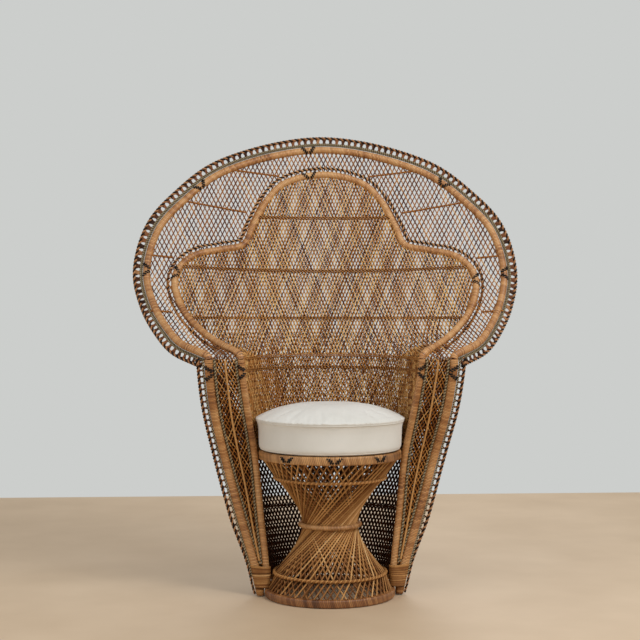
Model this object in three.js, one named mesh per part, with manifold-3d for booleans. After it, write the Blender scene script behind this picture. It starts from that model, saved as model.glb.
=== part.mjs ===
// Peacock chair: hourglass cane pedestal, loose cushion, woven double shell and fan back.
// Millimetres, +Z up, the front faces -Y.
import * as THREE from 'three';
import { mergeVertices } from 'three/addons/utils/BufferGeometryUtils.js';
import Module from 'manifold-3d';

// Driving dimensions: clearances
const CLEAR = 0.3;
const WEAVE_CLEAR = 1;
const BAND_CLEAR = 0.75;
const BUTT_CLEAR = 1;

// Driving dimensions: pedestal
const BASE_RADIUS = 200;
const BASE_WIDTH = 24;
const BASE_HEIGHT = 25;
const SEAT_FLARE = 19;
const SEAT_WIDTH = 22;
const SEAT_BOTTOM = 421;
const SEAT_HOOP_HEIGHT = 26;
const WAIST_RING_RADIUS = 6;
const LOWER_RING_RISE = 49;
const LOWER_RING_SETBACK = 34;
const UPPER_RING_DROP = 58;
const UPPER_RING_SETBACK = 54;
const TWINE_RADIUS = 4;
const INNER_TWINE_RADIUS = 3;
const STRAND_COUNT = 16;
const STRAND_SEAT = 10;
const STRAND_RADIUS = 2;
const STRAND_TWIST = 120;
const STRAND_END_TWIST = 12;
const LAYER_STEP = 10;
const LEG_COUNT = 6;
const LEG_RADIUS = 7;
const LEG_WAIST = 48;
const LEG_CURVE = 2.6;
const LEG_LIFT = 4;
const LEG_NAILING = 3;
const SEAT_BAR_RADIUS = 6;
const SEAT_BAR_SPACING = 140;
const DECK_THICKNESS = 8;

// Driving dimensions: cushion
const CUSHION_OVERHANG = 12;
const CUSHION_HEIGHT = 138;
const CUSHION_SEAM = 88;

// Driving dimensions: poles
const ARCH_RADIUS = 11;
const TREFOIL_RADIUS = 10;
const INNER_POLE_RADIUS = 10;
const OUTER_POLE_RADIUS = 13;
const RIB_RADIUS = 4;
const SILL_RADIUS = 9;
const ROW_RADIUS = 3;

// Driving dimensions: arms
const ARM_TOP = 728;
const ARM_REACH = 98;
const ARM_SPREAD = 53;
const ARM_WIDTH = 97;
const ARM_SEAT_WIDTH = 87;
const ARM_BEND = 16;
const ARM_LEAN_DROP = 14;
const ARM_PANEL_BOTTOM = 150;
const ARM_PANEL_DROP = 6;
const FOOT_TOP = 93;
const FOOT_SPREAD = 26;
const FOOT_SETBACK = 4;
const FOOT_LIFT = 3;
const FOOT_LEAN = [1, 8];
const FOOT_WALL = 5;
const FOOT_TOE = 3;

// Driving dimensions: back, to the middle of its poles
const FAN_TOP = 1405;
const FAN_HALF_WIDTH = 572;
const FAN_WIDEST_HEIGHT = 998;
const CROWN_BAND = 83;
const SIDE_BAND = 87;
const BACK_OFFSET = 13;
const BACK_LEAN = 0.06;
const BACK_CURVE = 34e-6;
const FAN_CUP = 0.0004;
const WALL_GAP = 14;
const SHEET = 4;
const OUTER_WALL_RISE = 72;
const OUTER_WALL_CLEAR = 1.8;
const BAND_LAP = 10;
const SEAM_DROP = 1;

// Crown of the arch and of the trefoil: shares of the half width and of the rise above the widest height
const ARCH_CROWN = [[0, 1], [0.57, 0.81], [0.8, 0.563], [0.94, 0.322], [1, 0]];
const TREFOIL_CROWN = [
  [0, 1], [0.266, 0.907], [0.388, 0.728], [0.485, 0.457], [0.544, 0.278], [0.699, 0.222],
  [0.874, 0.16], [0.977, 0.025],
];

// Flare from the arms to the widest height: shares of the way across, back and up
const ARCH_FLARE = [
  [0.877, 0.764, 0.618], [0.621, 0.433, 0.315], [0.433, 0.258, 0.174], [0.138, 0.064, 0.078],
  [0, 0, 0.03],
];
const TREFOIL_FLARE = [
  [1, 0.958, 0.859], [0.873, 0.738, 0.563], [0.601, 0.48, 0.322], [0.263, 0.189, 0.148],
  [0.066, 0.035, 0.078], [0, 0, 0.03],
];

// Twined rows behind the panel: share of its height, and how far behind its sheet
const BACK_ROWS = [[0.2, 4.4], [0.46, 0.9], [0.755, -0.6]];
const SEAM_ROW_REACH = 0.985;

// Driving dimensions: woven border
const BORDER = 37;
const PLAIT_RADIUS = 5.5;
const OPENWORK_RADIUS = 2;
const ARM_BORDER = 32;
const ARM_BORDER_FULL = 260;
const ARM_EDGE_FOOT = 8;
const ARM_EDGE_DROP = 14;
const ARM_OPENWORK_FOOT = 150;

// Weave: cells across and up, sizes of a cell, and the share of a cell that is open
const OUTER_WALL_CELLS = [18, 7];
const INNER_WALL_CELLS = [16, 3];
const ARM_PANEL_CELLS = [2, 18];
const TREFOIL_CELL = [96, 144];
const BAND_CELL = [70, 104];
const WALL_OPEN = 0.7;
const ARM_OPEN = 0.72;
const FAN_OPEN = 0.68;
const FAN_ZIGZAGS = 48;
const ARM_ZIGZAGS = 20;
const HOOP_SEGMENTS = 36;
const WAIST_SEGMENTS = 28;
const ARM_POLE_STEPS = 20;
const ARCH_STEPS = 60;
const TREFOIL_STEPS = 64;

// Derived sizes
const SEAT_RADIUS = BASE_RADIUS + SEAT_FLARE;
const SEAT_TOP = SEAT_BOTTOM + SEAT_HOOP_HEIGHT;
const SEAT_INNER = SEAT_RADIUS - SEAT_WIDTH;
const LOWER_RING_RADIUS = BASE_RADIUS - LOWER_RING_SETBACK;
const LOWER_RING_HEIGHT = BASE_HEIGHT + LOWER_RING_RISE;
const UPPER_RING_RADIUS = SEAT_RADIUS - UPPER_RING_SETBACK;
const UPPER_RING_HEIGHT = SEAT_BOTTOM - UPPER_RING_DROP;
const ARM_INNER_TOP = SEAT_RADIUS + ARM_SPREAD;
const ARM_OUTER_TOP = ARM_INNER_TOP + ARM_WIDTH;
const ARM_PANEL_TOP = ARM_TOP - ARM_PANEL_DROP;
const TREFOIL_TOP = FAN_TOP - CROWN_BAND;
const TREFOIL_HALF_WIDTH = FAN_HALF_WIDTH - SIDE_BAND;
const BACK_FOOT = BASE_RADIUS + BACK_OFFSET;
const OUTER_WALL_TOP = ARM_TOP + OUTER_WALL_RISE;
const BAND_BOTTOM = OUTER_WALL_TOP - BAND_LAP;
const SEAM_ROW_HEIGHT = ARM_TOP - SEAM_DROP;
const WALL_TOP = SEAM_ROW_HEIGHT - ROW_RADIUS - WEAVE_CLEAR;
const PANEL_BOTTOM = SEAM_ROW_HEIGHT + ROW_RADIUS + WEAVE_CLEAR;

const { lerp, clamp, degToRad, smoothstep } = THREE.MathUtils;

const wasm = await Module();
wasm.setup();

// Colours of the canes
const LOOKS = {
  cane: { color: 0xb47b45, roughness: 0.55, metalness: 0 },
  weave: { color: 0x8a5a33, roughness: 0.65, metalness: 0 },
  dark: { color: 0x5b3a22, roughness: 0.65, metalness: 0 },
  core: { color: 0xa87a4c, roughness: 0.7, metalness: 0 },
  cloth: { color: 0xeceae4, roughness: 0.9, metalness: 0 },
};

const chair = new THREE.Group();

function addPiece(name, geometry, look) {
  const mesh = new THREE.Mesh(outward(geometry), new THREE.MeshStandardMaterial(LOOKS[look]));
  mesh.name = name;
  chair.add(mesh);
}

// Helpers on meshes

function bare(geometry) {
  const copy = geometry.clone();
  copy.deleteAttribute('normal');
  copy.deleteAttribute('uv');
  return mergeVertices(copy, 1e-3);
}

function signedVolume(geometry) {
  const place = geometry.attributes.position;
  const index = geometry.index;
  const corner = [new THREE.Vector3(), new THREE.Vector3(), new THREE.Vector3()];
  let total = 0;
  for (let i = 0; i < index.count; i += 3) {
    for (let k = 0; k < 3; k += 1) corner[k].fromBufferAttribute(place, index.getX(i + k));
    total += corner[0].dot(corner[1].clone().cross(corner[2])) / 6;
  }
  return total;
}

function outward(geometry) {
  const clean = bare(geometry);
  if (signedVolume(clean) < 0) {
    const flipped = Array.from(clean.index.array);
    for (let i = 0; i < flipped.length; i += 3) {
      [flipped[i], flipped[i + 1]] = [flipped[i + 1], flipped[i]];
    }
    clean.setIndex(flipped);
  }
  return clean;
}

function solid(geometry) {
  const clean = outward(geometry);
  const vertProperties = new Float32Array(clean.attributes.position.array);
  const triVerts = new Uint32Array(clean.index.array);
  return new wasm.Manifold(new wasm.Mesh({ numProp: 3, vertProperties, triVerts }));
}

function geometryOf(body) {
  const mesh = body.getMesh();
  const geometry = new THREE.BufferGeometry();
  const places = new Float32Array(mesh.numVert * 3);
  for (let v = 0; v < mesh.numVert; v += 1) {
    for (let k = 0; k < 3; k += 1) places[v * 3 + k] = mesh.vertProperties[v * mesh.numProp + k];
  }
  geometry.setAttribute('position', new THREE.BufferAttribute(places, 3));
  geometry.setIndex(Array.from(mesh.triVerts));
  return geometry;
}

function largest(body) {
  return body.decompose().reduce((best, next) => (next.volume() > best.volume() ? next : best));
}

// Helpers on curves

function vector([x, y, z]) {
  return new THREE.Vector3(x, y, z);
}

function curveThrough(points) {
  return new THREE.CatmullRomCurve3(points.map(vector), false, 'centripetal');
}

function mirrored(points) {
  return points.map(([x, y, z]) => [-x, y, z]);
}

// Round section as a polygon
function roundSection(radius, sides) {
  const shape = new THREE.Shape();
  for (let s = 0; s < sides; s += 1) {
    const angle = (2 * Math.PI * s) / sides;
    const x = radius * Math.cos(angle);
    const y = radius * Math.sin(angle);
    if (s === 0) shape.moveTo(x, y);
    else shape.lineTo(x, y);
  }
  shape.closePath();
  return shape;
}

function pole(path, radius, steps, sides = 8) {
  const options = { steps: Math.round(steps), extrudePath: path };
  return new THREE.ExtrudeGeometry(roundSection(radius, sides), options);
}

// Revolved ring or disc from [radius, height] points
function revolve(profile, segments) {
  const points = profile.map(([r, z]) => new THREE.Vector2(r, z));
  return new THREE.LatheGeometry(points, segments).rotateX(Math.PI / 2);
}

function closedProfile(points) {
  return [...points, points[0]];
}

// Wrapped hoop with a flat underside and rounded shoulders
function hoop(outer, width, bottom, height) {
  const inner = outer - width;
  const edge = Math.min(width, height) * 0.16;
  const top = bottom + height;
  return revolve(closedProfile([
    [inner, bottom], [outer - edge, bottom], [outer, bottom + edge], [outer, top - edge],
    [outer - edge, top], [inner, top],
  ]), HOOP_SEGMENTS);
}

function ring(radius, height, thickness, segments, sides = 6) {
  const profile = [];
  for (let s = 0; s <= sides; s += 1) {
    const angle = (2 * Math.PI * (s % sides)) / sides;
    profile.push([radius + thickness * Math.cos(angle), height + thickness * Math.sin(angle)]);
  }
  return revolve(profile, segments);
}

// Weave: a flat slab of crossing strands with diamond holes, wrapped onto a curved surface

function slab(polygons, thickness) {
  const key = ([x, y]) => `${x.toFixed(4)},${y.toFixed(4)}`;
  const edges = new Map();
  const places = [];
  const half = thickness / 2;
  const triangle = (a, b, c) => places.push(...a, ...b, ...c);
  const front = ([x, y]) => [x, y, half];
  const back = ([x, y]) => [x, y, -half];
  for (const polygon of polygons) {
    for (let i = 1; i + 1 < polygon.length; i += 1) {
      triangle(front(polygon[0]), front(polygon[i]), front(polygon[i + 1]));
      triangle(back(polygon[0]), back(polygon[i + 1]), back(polygon[i]));
    }
    polygon.forEach((point, i) => {
      const next = polygon[(i + 1) % polygon.length];
      edges.set(`${key(point)}|${key(next)}`, [point, next]);
    });
  }
  for (const [name, [start, end]] of edges) {
    const [from, to] = name.split('|');
    if (edges.has(`${to}|${from}`)) continue;
    triangle(back(start), back(end), front(end));
    triangle(back(start), front(end), front(start));
  }
  const geometry = new THREE.BufferGeometry();
  geometry.setAttribute('position', new THREE.Float32BufferAttribute(places, 3));
  return geometry;
}

// Polygons of a lattice of columns by rows half cells. The share of a cell that is open sets the holes.
function latticePolygons(columns, rows, open) {
  const tip = 1 - open;
  const polygons = [];
  for (let i = 0; i <= columns; i += 1) {
    for (let j = 0; j <= rows; j += 1) {
      if ((i + j) % 2 === 0) polygons.push(crossing(i, j, columns, rows, tip));
      if (i < columns && j < rows) polygons.push(strand(i, j, open));
    }
  }
  return polygons;
}

function crossing(i, j, columns, rows, tip) {
  const corners = [];
  const atEdge = (i === 0 || i === columns) && (j === 0 || j === rows);
  if (i < columns) corners.push([i + tip, j]);
  if (j < rows) corners.push([i, j + tip]);
  if (i > 0) corners.push([i - tip, j]);
  if (j > 0) corners.push([i, j - tip]);
  if (atEdge) {
    corners.push([i, j]);
    const middle = corners.reduce(([x, y], [a, b]) => [x + a / 3, y + b / 3], [0, 0]);
    corners.sort((a, b) => Math.atan2(a[1] - middle[1], a[0] - middle[0])
      - Math.atan2(b[1] - middle[1], b[0] - middle[0]));
  }
  return corners;
}

function strand(i, j, open) {
  if ((i + j) % 2 === 1) {
    return [[i + open, j], [i + 1, j + 1 - open], [i + 1 - open, j + 1], [i, j + open]];
  }
  return [[i, j + 1 - open], [i + 1 - open, j], [i + 1, j + open], [i + open, j + 1]];
}

function flatLattice(cellWidth, cellHeight, columns, rows, open, left, bottom) {
  const polygons = latticePolygons(columns, rows, open);
  const scaled = polygons.map((polygon) => polygon.map(([i, j]) => [
    left + (i * cellWidth) / 2, bottom + (j * cellHeight) / 2,
  ]));
  return slab(scaled, SHEET);
}

// Outline prism that trims a flat lattice
function outlinePrism(points) {
  const shape = new THREE.Shape(points.map(([x, y]) => new THREE.Vector2(x, y)));
  const depth = SHEET * 4;
  const prism = new THREE.ExtrudeGeometry(shape, { depth, bevelEnabled: false });
  return solid(prism.translate(0, 0, -depth / 2));
}

// The surface gives a point for flat coordinates, and the sheet's thickness follows its normal
function wrap(geometry, surface) {
  const wrapped = bare(geometry);
  const place = wrapped.attributes.position;
  const step = 0.5;
  for (let v = 0; v < place.count; v += 1) {
    const x = place.getX(v);
    const y = place.getY(v);
    const along = surface(x + step, y).sub(surface(x - step, y));
    const up = surface(x, y + step).sub(surface(x, y - step));
    const normal = along.cross(up).normalize();
    const point = surface(x, y).addScaledVector(normal, place.getZ(v));
    place.setXYZ(v, point.x, point.y, point.z);
  }
  return wrapped;
}

// Pole paths on the right side, from the foot up, as [x, y, z]

// The arms lean forward from a little under the seat's top
function armY(z) {
  return -ARM_REACH * smoothstep(z, SEAT_BOTTOM - ARM_LEAN_DROP, ARM_TOP);
}

const INNER_FOOT_X = BASE_RADIUS - FOOT_SETBACK;
const OUTER_FOOT_X = INNER_FOOT_X + FOOT_SPREAD;
const INNER_SEAT_X = SEAT_RADIUS + INNER_POLE_RADIUS + WEAVE_CLEAR;
const OUTER_SEAT_X = INNER_SEAT_X + ARM_SEAT_WIDTH;
const POLE_FOOT = BASE_HEIGHT + FOOT_LIFT;
const FOOT_BINDING_DEPTH = OUTER_POLE_RADIUS + FOOT_WALL;

function armPath(footX, footLean, seatX, topX) {
  const middle = (POLE_FOOT + SEAT_TOP) / 2;
  const above = (SEAT_TOP + ARM_TOP) / 2;
  const bend = ARM_TOP - ARM_BEND;
  const footTopX = footX + footLean;
  return [
    [footX, 0, POLE_FOOT],
    [footTopX, 0, FOOT_TOP],
    [lerp(footTopX, seatX, 0.46), 0, middle],
    [seatX, armY(SEAT_BOTTOM), SEAT_BOTTOM],
    [lerp(seatX, topX, 0.62), armY(above), above],
    [topX, armY(bend), bend],
    [topX, -ARM_REACH, ARM_TOP],
  ];
}

const innerPoints = armPath(INNER_FOOT_X, FOOT_LEAN[0], INNER_SEAT_X, ARM_INNER_TOP);
const outerPoints = armPath(OUTER_FOOT_X, FOOT_LEAN[1], OUTER_SEAT_X, ARM_OUTER_TOP);

function backY(z) {
  return BACK_FOOT + BACK_LEAN * z + BACK_CURVE * z * z;
}

function fanY(x, z) {
  return backY(z) - FAN_CUP * x * x;
}

function onFan(x, z) {
  return [x, fanY(x, z), z];
}

// Half of the arch or of the trefoil, from the crown down to the arm
function fanPole(crownShares, flareShares, halfWidth, top, armX) {
  const crown = crownShares.map(([across, up]) => (
    onFan(halfWidth * across, lerp(FAN_WIDEST_HEIGHT, top, up))
  ));
  const flare = flareShares.map(([across, back, up]) => {
    const x = lerp(armX, halfWidth, across);
    const z = lerp(ARM_TOP, FAN_WIDEST_HEIGHT, up);
    return [x, lerp(-ARM_REACH, fanY(x, z), back), z];
  });
  return [...crown, ...flare, [armX, -ARM_REACH, ARM_TOP + BUTT_CLEAR]];
}

const archHalf = fanPole(ARCH_CROWN, ARCH_FLARE, FAN_HALF_WIDTH, FAN_TOP, ARM_OUTER_TOP);
const trefoilHalf = fanPole(
  TREFOIL_CROWN,
  TREFOIL_FLARE,
  TREFOIL_HALF_WIDTH,
  TREFOIL_TOP,
  ARM_INNER_TOP,
);

function bothSides(half) {
  return [...mirrored(half).reverse(), ...half.slice(1)];
}

const innerPole = curveThrough(innerPoints);
const outerPole = curveThrough(outerPoints);
const arch = curveThrough(bothSides(archHalf));
const trefoil = curveThrough(bothSides(trefoilHalf));

// Rim of a shell at a height: the arm pole below, the pole of the fan above
function rimLookup(lower, upper) {
  const samples = [
    ...lower.getPoints(160),
    ...upper.getPoints(800).filter((p) => p.x > 0 && p.z < FAN_WIDEST_HEIGHT).reverse(),
  ];
  samples.sort((a, b) => a.z - b.z);
  return (z) => {
    const last = samples.length - 1;
    let k = samples.findIndex((p) => p.z >= z);
    if (k === -1) k = last;
    if (k === 0) k = 1;
    const low = samples[k - 1];
    const high = samples[k];
    const share = clamp((z - low.z) / Math.max(high.z - low.z, 1e-6), 0, 1);
    return low.clone().lerp(high, share);
  };
}

const outerRim = rimLookup(outerPole, arch);
const innerRim = rimLookup(innerPole, trefoil);

// A shell runs from rim to rim round the back: a half ellipse low down, a shallow bow in the fan.
// The flat coordinate goes from -1 to 1.
function shellSurface(rim, rimRadius, rimClear, gapAt) {
  return (share, z) => {
    const edge = rim(z);
    const bow = smoothstep(z, WALL_TOP, FAN_WIDEST_HEIGHT);
    const back = backY(z) - gapAt(z);
    const depth = back - edge.y;
    const step = 5;
    const slope = (rim(z + step).y - rim(z - step).y) / (2 * step);
    const binding = FOOT_BINDING_DEPTH * (1 - smoothstep(z, FOOT_TOP, FOOT_TOP * 1.6));
    const stop = Math.max(rimRadius * Math.hypot(1, slope), binding);
    const reach = (stop + rimClear) / depth;
    const limit = lerp(Math.acos(Math.min(reach, 0.9)) / (Math.PI / 2), 1, bow);
    const u = share * limit;
    const angle = (u * Math.PI) / 2;
    const x = edge.x * lerp(Math.sin(angle), u, bow);
    const y = back - depth * lerp(1 - Math.cos(angle), u * u, bow);
    return new THREE.Vector3(x, y, z);
  };
}

const innerGap = (z) => WALL_GAP * (1 - smoothstep(z, OUTER_WALL_TOP, FAN_WIDEST_HEIGHT));
const outerShell = shellSurface(outerRim, OUTER_POLE_RADIUS, OUTER_WALL_CLEAR, () => 0);
const innerShell = shellSurface(innerRim, INNER_POLE_RADIUS, WEAVE_CLEAR, innerGap);

// Pedestal

const STRAND_FOOT = BASE_RADIUS - STRAND_SEAT;
const STRAND_HEAD = SEAT_RADIUS - STRAND_SEAT;
const TWIST = degToRad(STRAND_TWIST);
const END_TWIST = degToRad(STRAND_END_TWIST);
const FIRST_STRAND = Math.PI / STRAND_COUNT;

function addPedestal() {
  addPiece('base_hoop', hoop(BASE_RADIUS, BASE_WIDTH, 0, BASE_HEIGHT), 'cane');
  addPiece('seat_hoop', hoop(SEAT_RADIUS, SEAT_WIDTH, SEAT_BOTTOM, SEAT_HOOP_HEIGHT), 'cane');
  addPiece('waist_ring', waistRing(), 'cane');
  for (let k = 0; k < STRAND_COUNT; k += 1) {
    addPiece(`outer_strand_${k + 1}`, strandRod(k, 0, 1), 'weave');
  }
  addPiece('lower_twine', lowerTwine(), 'weave');
  addPiece('upper_twine', upperTwine(), 'weave');
  addPiece('inner_strands', innerStrands(), 'dark');
  for (let k = 0; k < LEG_COUNT; k += 1) {
    addPiece(`pedestal_leg_${k + 1}`, pedestalLeg((2 * Math.PI * k) / LEG_COUNT), 'core');
  }
}

// Where a straight strand comes closest to the axis, between its two twined rings
function waistOf(inset) {
  const low = LOWER_RING_RADIUS - inset;
  const high = UPPER_RING_RADIUS - inset;
  const chord = Math.sqrt(low * low + high * high - 2 * low * high * Math.cos(TWIST));
  const share = (low * (low - high * Math.cos(TWIST))) / chord ** 2;
  return {
    radius: (low * high * Math.sin(TWIST)) / chord,
    height: lerp(LOWER_RING_HEIGHT, UPPER_RING_HEIGHT, share),
  };
}

function waistRing() {
  const waist = waistOf(0);
  const radius = waist.radius + STRAND_RADIUS + CLEAR + WAIST_RING_RADIUS;
  return ring(radius, waist.height, WAIST_RING_RADIUS, WAIST_SEGMENTS);
}

function around(radius, angle, z) {
  return new THREE.Vector3(radius * Math.cos(angle), radius * Math.sin(angle), z);
}

// One cane of a layer: a straight stretch between the twined rings, and its two leaning ends
function strandRod(k, inset, lean) {
  const start = FIRST_STRAND + (2 * Math.PI * k) / STRAND_COUNT;
  const low = start + END_TWIST * lean;
  const high = low + TWIST * lean;
  const facing = low + (lean * (TWIST % (Math.PI / 2))) / 2;
  return bentRod([
    around(STRAND_FOOT - inset, start, BASE_HEIGHT + CLEAR),
    around(LOWER_RING_RADIUS - inset, low, LOWER_RING_HEIGHT),
    around(UPPER_RING_RADIUS - inset, high, UPPER_RING_HEIGHT),
    around(STRAND_HEAD - inset, high + END_TWIST * lean, SEAT_BOTTOM - CLEAR),
  ], STRAND_RADIUS, facing);
}

// Twined ring round the outside of the strands where they bend, with a corner at each strand
function twineOutside(radius, height, flare, angle) {
  const seat = radius + STRAND_RADIUS + (TWINE_RADIUS + CLEAR) * Math.hypot(1, flare);
  return ring(seat, height, TWINE_RADIUS, STRAND_COUNT * 2).rotateZ(angle + Math.PI / 2);
}

function lowerTwine() {
  const flare = (STRAND_FOOT - LOWER_RING_RADIUS) / LOWER_RING_RISE;
  return twineOutside(LOWER_RING_RADIUS, LOWER_RING_HEIGHT, flare, FIRST_STRAND + END_TWIST);
}

function upperTwine() {
  const flare = (STRAND_HEAD - UPPER_RING_RADIUS) / UPPER_RING_DROP;
  return twineOutside(UPPER_RING_RADIUS, UPPER_RING_HEIGHT, flare, FIRST_STRAND + END_TWIST + TWIST);
}

// Inner layer, leaning the other way, joined by the ring that it is twined into
function innerStrands() {
  const radius = UPPER_RING_RADIUS - LAYER_STEP;
  const twined = ring(radius, UPPER_RING_HEIGHT, INNER_TWINE_RADIUS, STRAND_COUNT, 4)
    .rotateZ(FIRST_STRAND - END_TWIST - TWIST + Math.PI / 2);
  let layer = solid(twined);
  for (let k = 0; k < STRAND_COUNT; k += 1) layer = layer.add(solid(strandRod(k, LAYER_STEP, -1)));
  return geometryOf(layer);
}

// Rod through a few points, with one level square section all along, so that each side is flat
function bentRod(points, radius, facing) {
  const places = [];
  const corners = [0, 1, 2, 3].map((s) => around(radius, facing + (s * Math.PI) / 2, 0));
  const rings = points.map((point) => corners.map((corner) => point.clone().add(corner)));
  const triangle = (a, b, c) => places.push(...a.toArray(), ...b.toArray(), ...c.toArray());
  for (let k = 0; k + 1 < rings.length; k += 1) {
    for (let s = 0; s < 4; s += 1) {
      const next = (s + 1) % 4;
      triangle(rings[k][s], rings[k][next], rings[k + 1][next]);
      triangle(rings[k][s], rings[k + 1][next], rings[k + 1][s]);
    }
  }
  const top = rings[rings.length - 1];
  triangle(rings[0][0], rings[0][2], rings[0][1]);
  triangle(rings[0][0], rings[0][3], rings[0][2]);
  triangle(top[0], top[1], top[2]);
  triangle(top[0], top[2], top[3]);
  const geometry = new THREE.BufferGeometry();
  geometry.setAttribute('position', new THREE.Float32BufferAttribute(places, 3));
  return geometry;
}

// Bent leg inside the strands, upright where it is nailed to the inside of the two hoops
function pedestalLeg(angle) {
  const facet = Math.cos(Math.PI / HOOP_SEGMENTS);
  const foot = (BASE_RADIUS - BASE_WIDTH) * facet - LEG_RADIUS - CLEAR;
  const head = SEAT_INNER * facet - LEG_RADIUS - CLEAR;
  const bottom = BASE_HEIGHT;
  const top = SEAT_BOTTOM + LEG_NAILING;
  const waist = waistOf(0).height;
  const points = [around(foot, angle, LEG_LIFT)];
  const steps = 6;
  for (let k = 0; k <= steps; k += 1) {
    const z = bottom + ((top - bottom) * k) / steps;
    const end = z < waist ? foot : head;
    const span = z < waist ? waist - bottom : top - waist;
    const share = Math.abs(z - waist) / span;
    const radius = Math.sqrt(LEG_WAIST ** 2 + (end ** 2 - LEG_WAIST ** 2) * share ** LEG_CURVE);
    points.push(around(radius, angle, z));
  }
  points.push(around(head, angle, SEAT_BOTTOM + SEAT_BAR_RADIUS * 2));
  return pole(curveThrough(points.map((point) => point.toArray())), LEG_RADIUS, 12, 6);
}

// Seat

function addSeat() {
  for (const [name, side] of [['seat_bar_front', -1], ['seat_bar_back', 1]]) {
    const y = (side * SEAT_BAR_SPACING) / 2;
    const reach = Math.sqrt((SEAT_INNER - 1) ** 2 - (Math.abs(y) + SEAT_BAR_RADIUS) ** 2);
    const z = SEAT_BOTTOM + SEAT_BAR_RADIUS;
    const path = new THREE.LineCurve3(new THREE.Vector3(-reach, y, z), new THREE.Vector3(reach, y, z));
    addPiece(name, pole(path, SEAT_BAR_RADIUS, 1, 8), 'core');
  }
  const deckBottom = SEAT_BOTTOM + SEAT_BAR_RADIUS * 2 + CLEAR;
  const deckRadius = (SEAT_INNER - CLEAR) * Math.cos(Math.PI / HOOP_SEGMENTS);
  addPiece('seat_deck', revolve([
    [0, deckBottom], [deckRadius, deckBottom], [deckRadius, deckBottom + DECK_THICKNESS],
    [0, deckBottom + DECK_THICKNESS],
  ], HOOP_SEGMENTS), 'weave');
}

// Loose cushion: flat underside, boxing drawn in between its seams, crowned top
function addCushion() {
  const bottom = SEAT_TOP + CLEAR;
  const seam = bottom + CUSHION_SEAM;
  const top = bottom + CUSHION_HEIGHT;
  const R = SEAT_RADIUS + CUSHION_OVERHANG;
  const crown = top - seam;
  addPiece('cushion', revolve([
    [0, bottom], [R * 0.9, bottom], [R * 0.93, bottom + 6], [R * 0.94, bottom + CUSHION_SEAM * 0.3],
    [R * 0.938, bottom + CUSHION_SEAM * 0.7], [R * 0.968, seam - 6], [R, seam], [R * 0.985, seam + 8],
    [R * 0.9, seam + crown * 0.46], [R * 0.7, seam + crown * 0.75], [R * 0.4, seam + crown * 0.94],
    [0, top],
  ], HOOP_SEGMENTS), 'cloth');
}

// Arms

function addArms() {
  for (const [side, sign] of [['left', -1], ['right', 1]]) {
    const turn = (points) => (sign > 0 ? points : mirrored(points));
    const inner = curveThrough(turn(innerPoints));
    const outer = curveThrough(turn(outerPoints));
    addPiece(`inner_arm_pole_${side}`, pole(inner, INNER_POLE_RADIUS, ARM_POLE_STEPS), 'cane');
    addPiece(`outer_arm_pole_${side}`, pole(outer, OUTER_POLE_RADIUS, ARM_POLE_STEPS), 'cane');
    addPiece(`foot_binding_${side}`, footBinding(sign, inner, outer), 'cane');
    addPiece(`arm_panel_${side}`, armPanel(sign), 'dark');
    addPiece(`arm_rib_${side}`, armRib(turn), 'cane');
  }
}

// Cane binding round the feet of the two poles of an arm
function footBinding(sign, inner, outer) {
  const bottom = BASE_HEIGHT + CLEAR;
  const height = FOOT_TOP - bottom;
  const left = INNER_FOOT_X - INNER_POLE_RADIUS - FOOT_WALL;
  const right = OUTER_FOOT_X + OUTER_POLE_RADIUS + FOOT_WALL;
  const middle = (left + right) / 2;
  const section = new THREE.Shape();
  section.absellipse(0, 0, (right - left) / 2, FOOT_BINDING_DEPTH, 0, 2 * Math.PI);
  const options = { depth: height, bevelEnabled: false, curveSegments: 10 };
  const block = new THREE.ExtrudeGeometry(section, options);
  block.translate(sign * middle, 0, bottom);
  const bores = [[inner, INNER_POLE_RADIUS], [outer, OUTER_POLE_RADIUS]].map(([path, radius]) => {
    const points = path.getPoints(60).filter((p) => p.z < FOOT_TOP + 40);
    const start = points[0].clone();
    start.z -= 30;
    const bore = new THREE.CatmullRomCurve3([start, ...points.filter((p, k) => k % 3 === 0)]);
    return solid(pole(bore, radius + WEAVE_CLEAR, 6, 8));
  });
  const binding = solid(block).subtract(bores[0]).subtract(bores[1]);
  return geometryOf(binding.add(solid(footToe(sign * right, bottom))));
}

// Lower end of the binding, outside the base hoop, from just above the floor up into the binding
function footToe(outside, bindingBottom) {
  const near = Math.sign(outside) * (BASE_RADIUS + WEAVE_CLEAR);
  const far = outside * (1 - FOOT_TOE / BASE_RADIUS);
  const section = new THREE.Shape();
  section.absellipse((near + far) / 2, 0, Math.abs(far - near) / 2, OUTER_POLE_RADIUS, 0, 2 * Math.PI);
  const depth = bindingBottom + CLEAR - FOOT_TOE;
  const toe = new THREE.ExtrudeGeometry(section, { depth, bevelEnabled: false, curveSegments: 10 });
  return toe.translate(0, 0, FOOT_TOE);
}

// Point of an arm front between its two poles, from the inner pole to the outer one
function armFront(share, z) {
  const inner = innerRim(z);
  const outer = outerRim(z);
  const step = 5;
  const lean = (outerRim(z + step).x - outerRim(z - step).x) / (2 * step);
  const from = inner.x + INNER_POLE_RADIUS + WEAVE_CLEAR;
  const to = outer.x - OUTER_POLE_RADIUS * Math.hypot(1, lean) - WEAVE_CLEAR;
  return new THREE.Vector3(lerp(from, to, share), lerp(inner.y, outer.y, share), z);
}

function armPanel(sign) {
  const [columns, rows] = ARM_PANEL_CELLS;
  const width = ARM_WIDTH;
  const cell = (2 * width) / columns;
  const rise = (2 * (ARM_PANEL_TOP - ARM_PANEL_BOTTOM)) / rows;
  const flat = flatLattice(cell, rise, columns, rows, ARM_OPEN, 0, ARM_PANEL_BOTTOM);
  return wrap(flat, (x, z) => {
    const share = sign > 0 ? x / width : 1 - x / width;
    const point = armFront(share, z);
    point.x *= sign;
    return point;
  });
}

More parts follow.
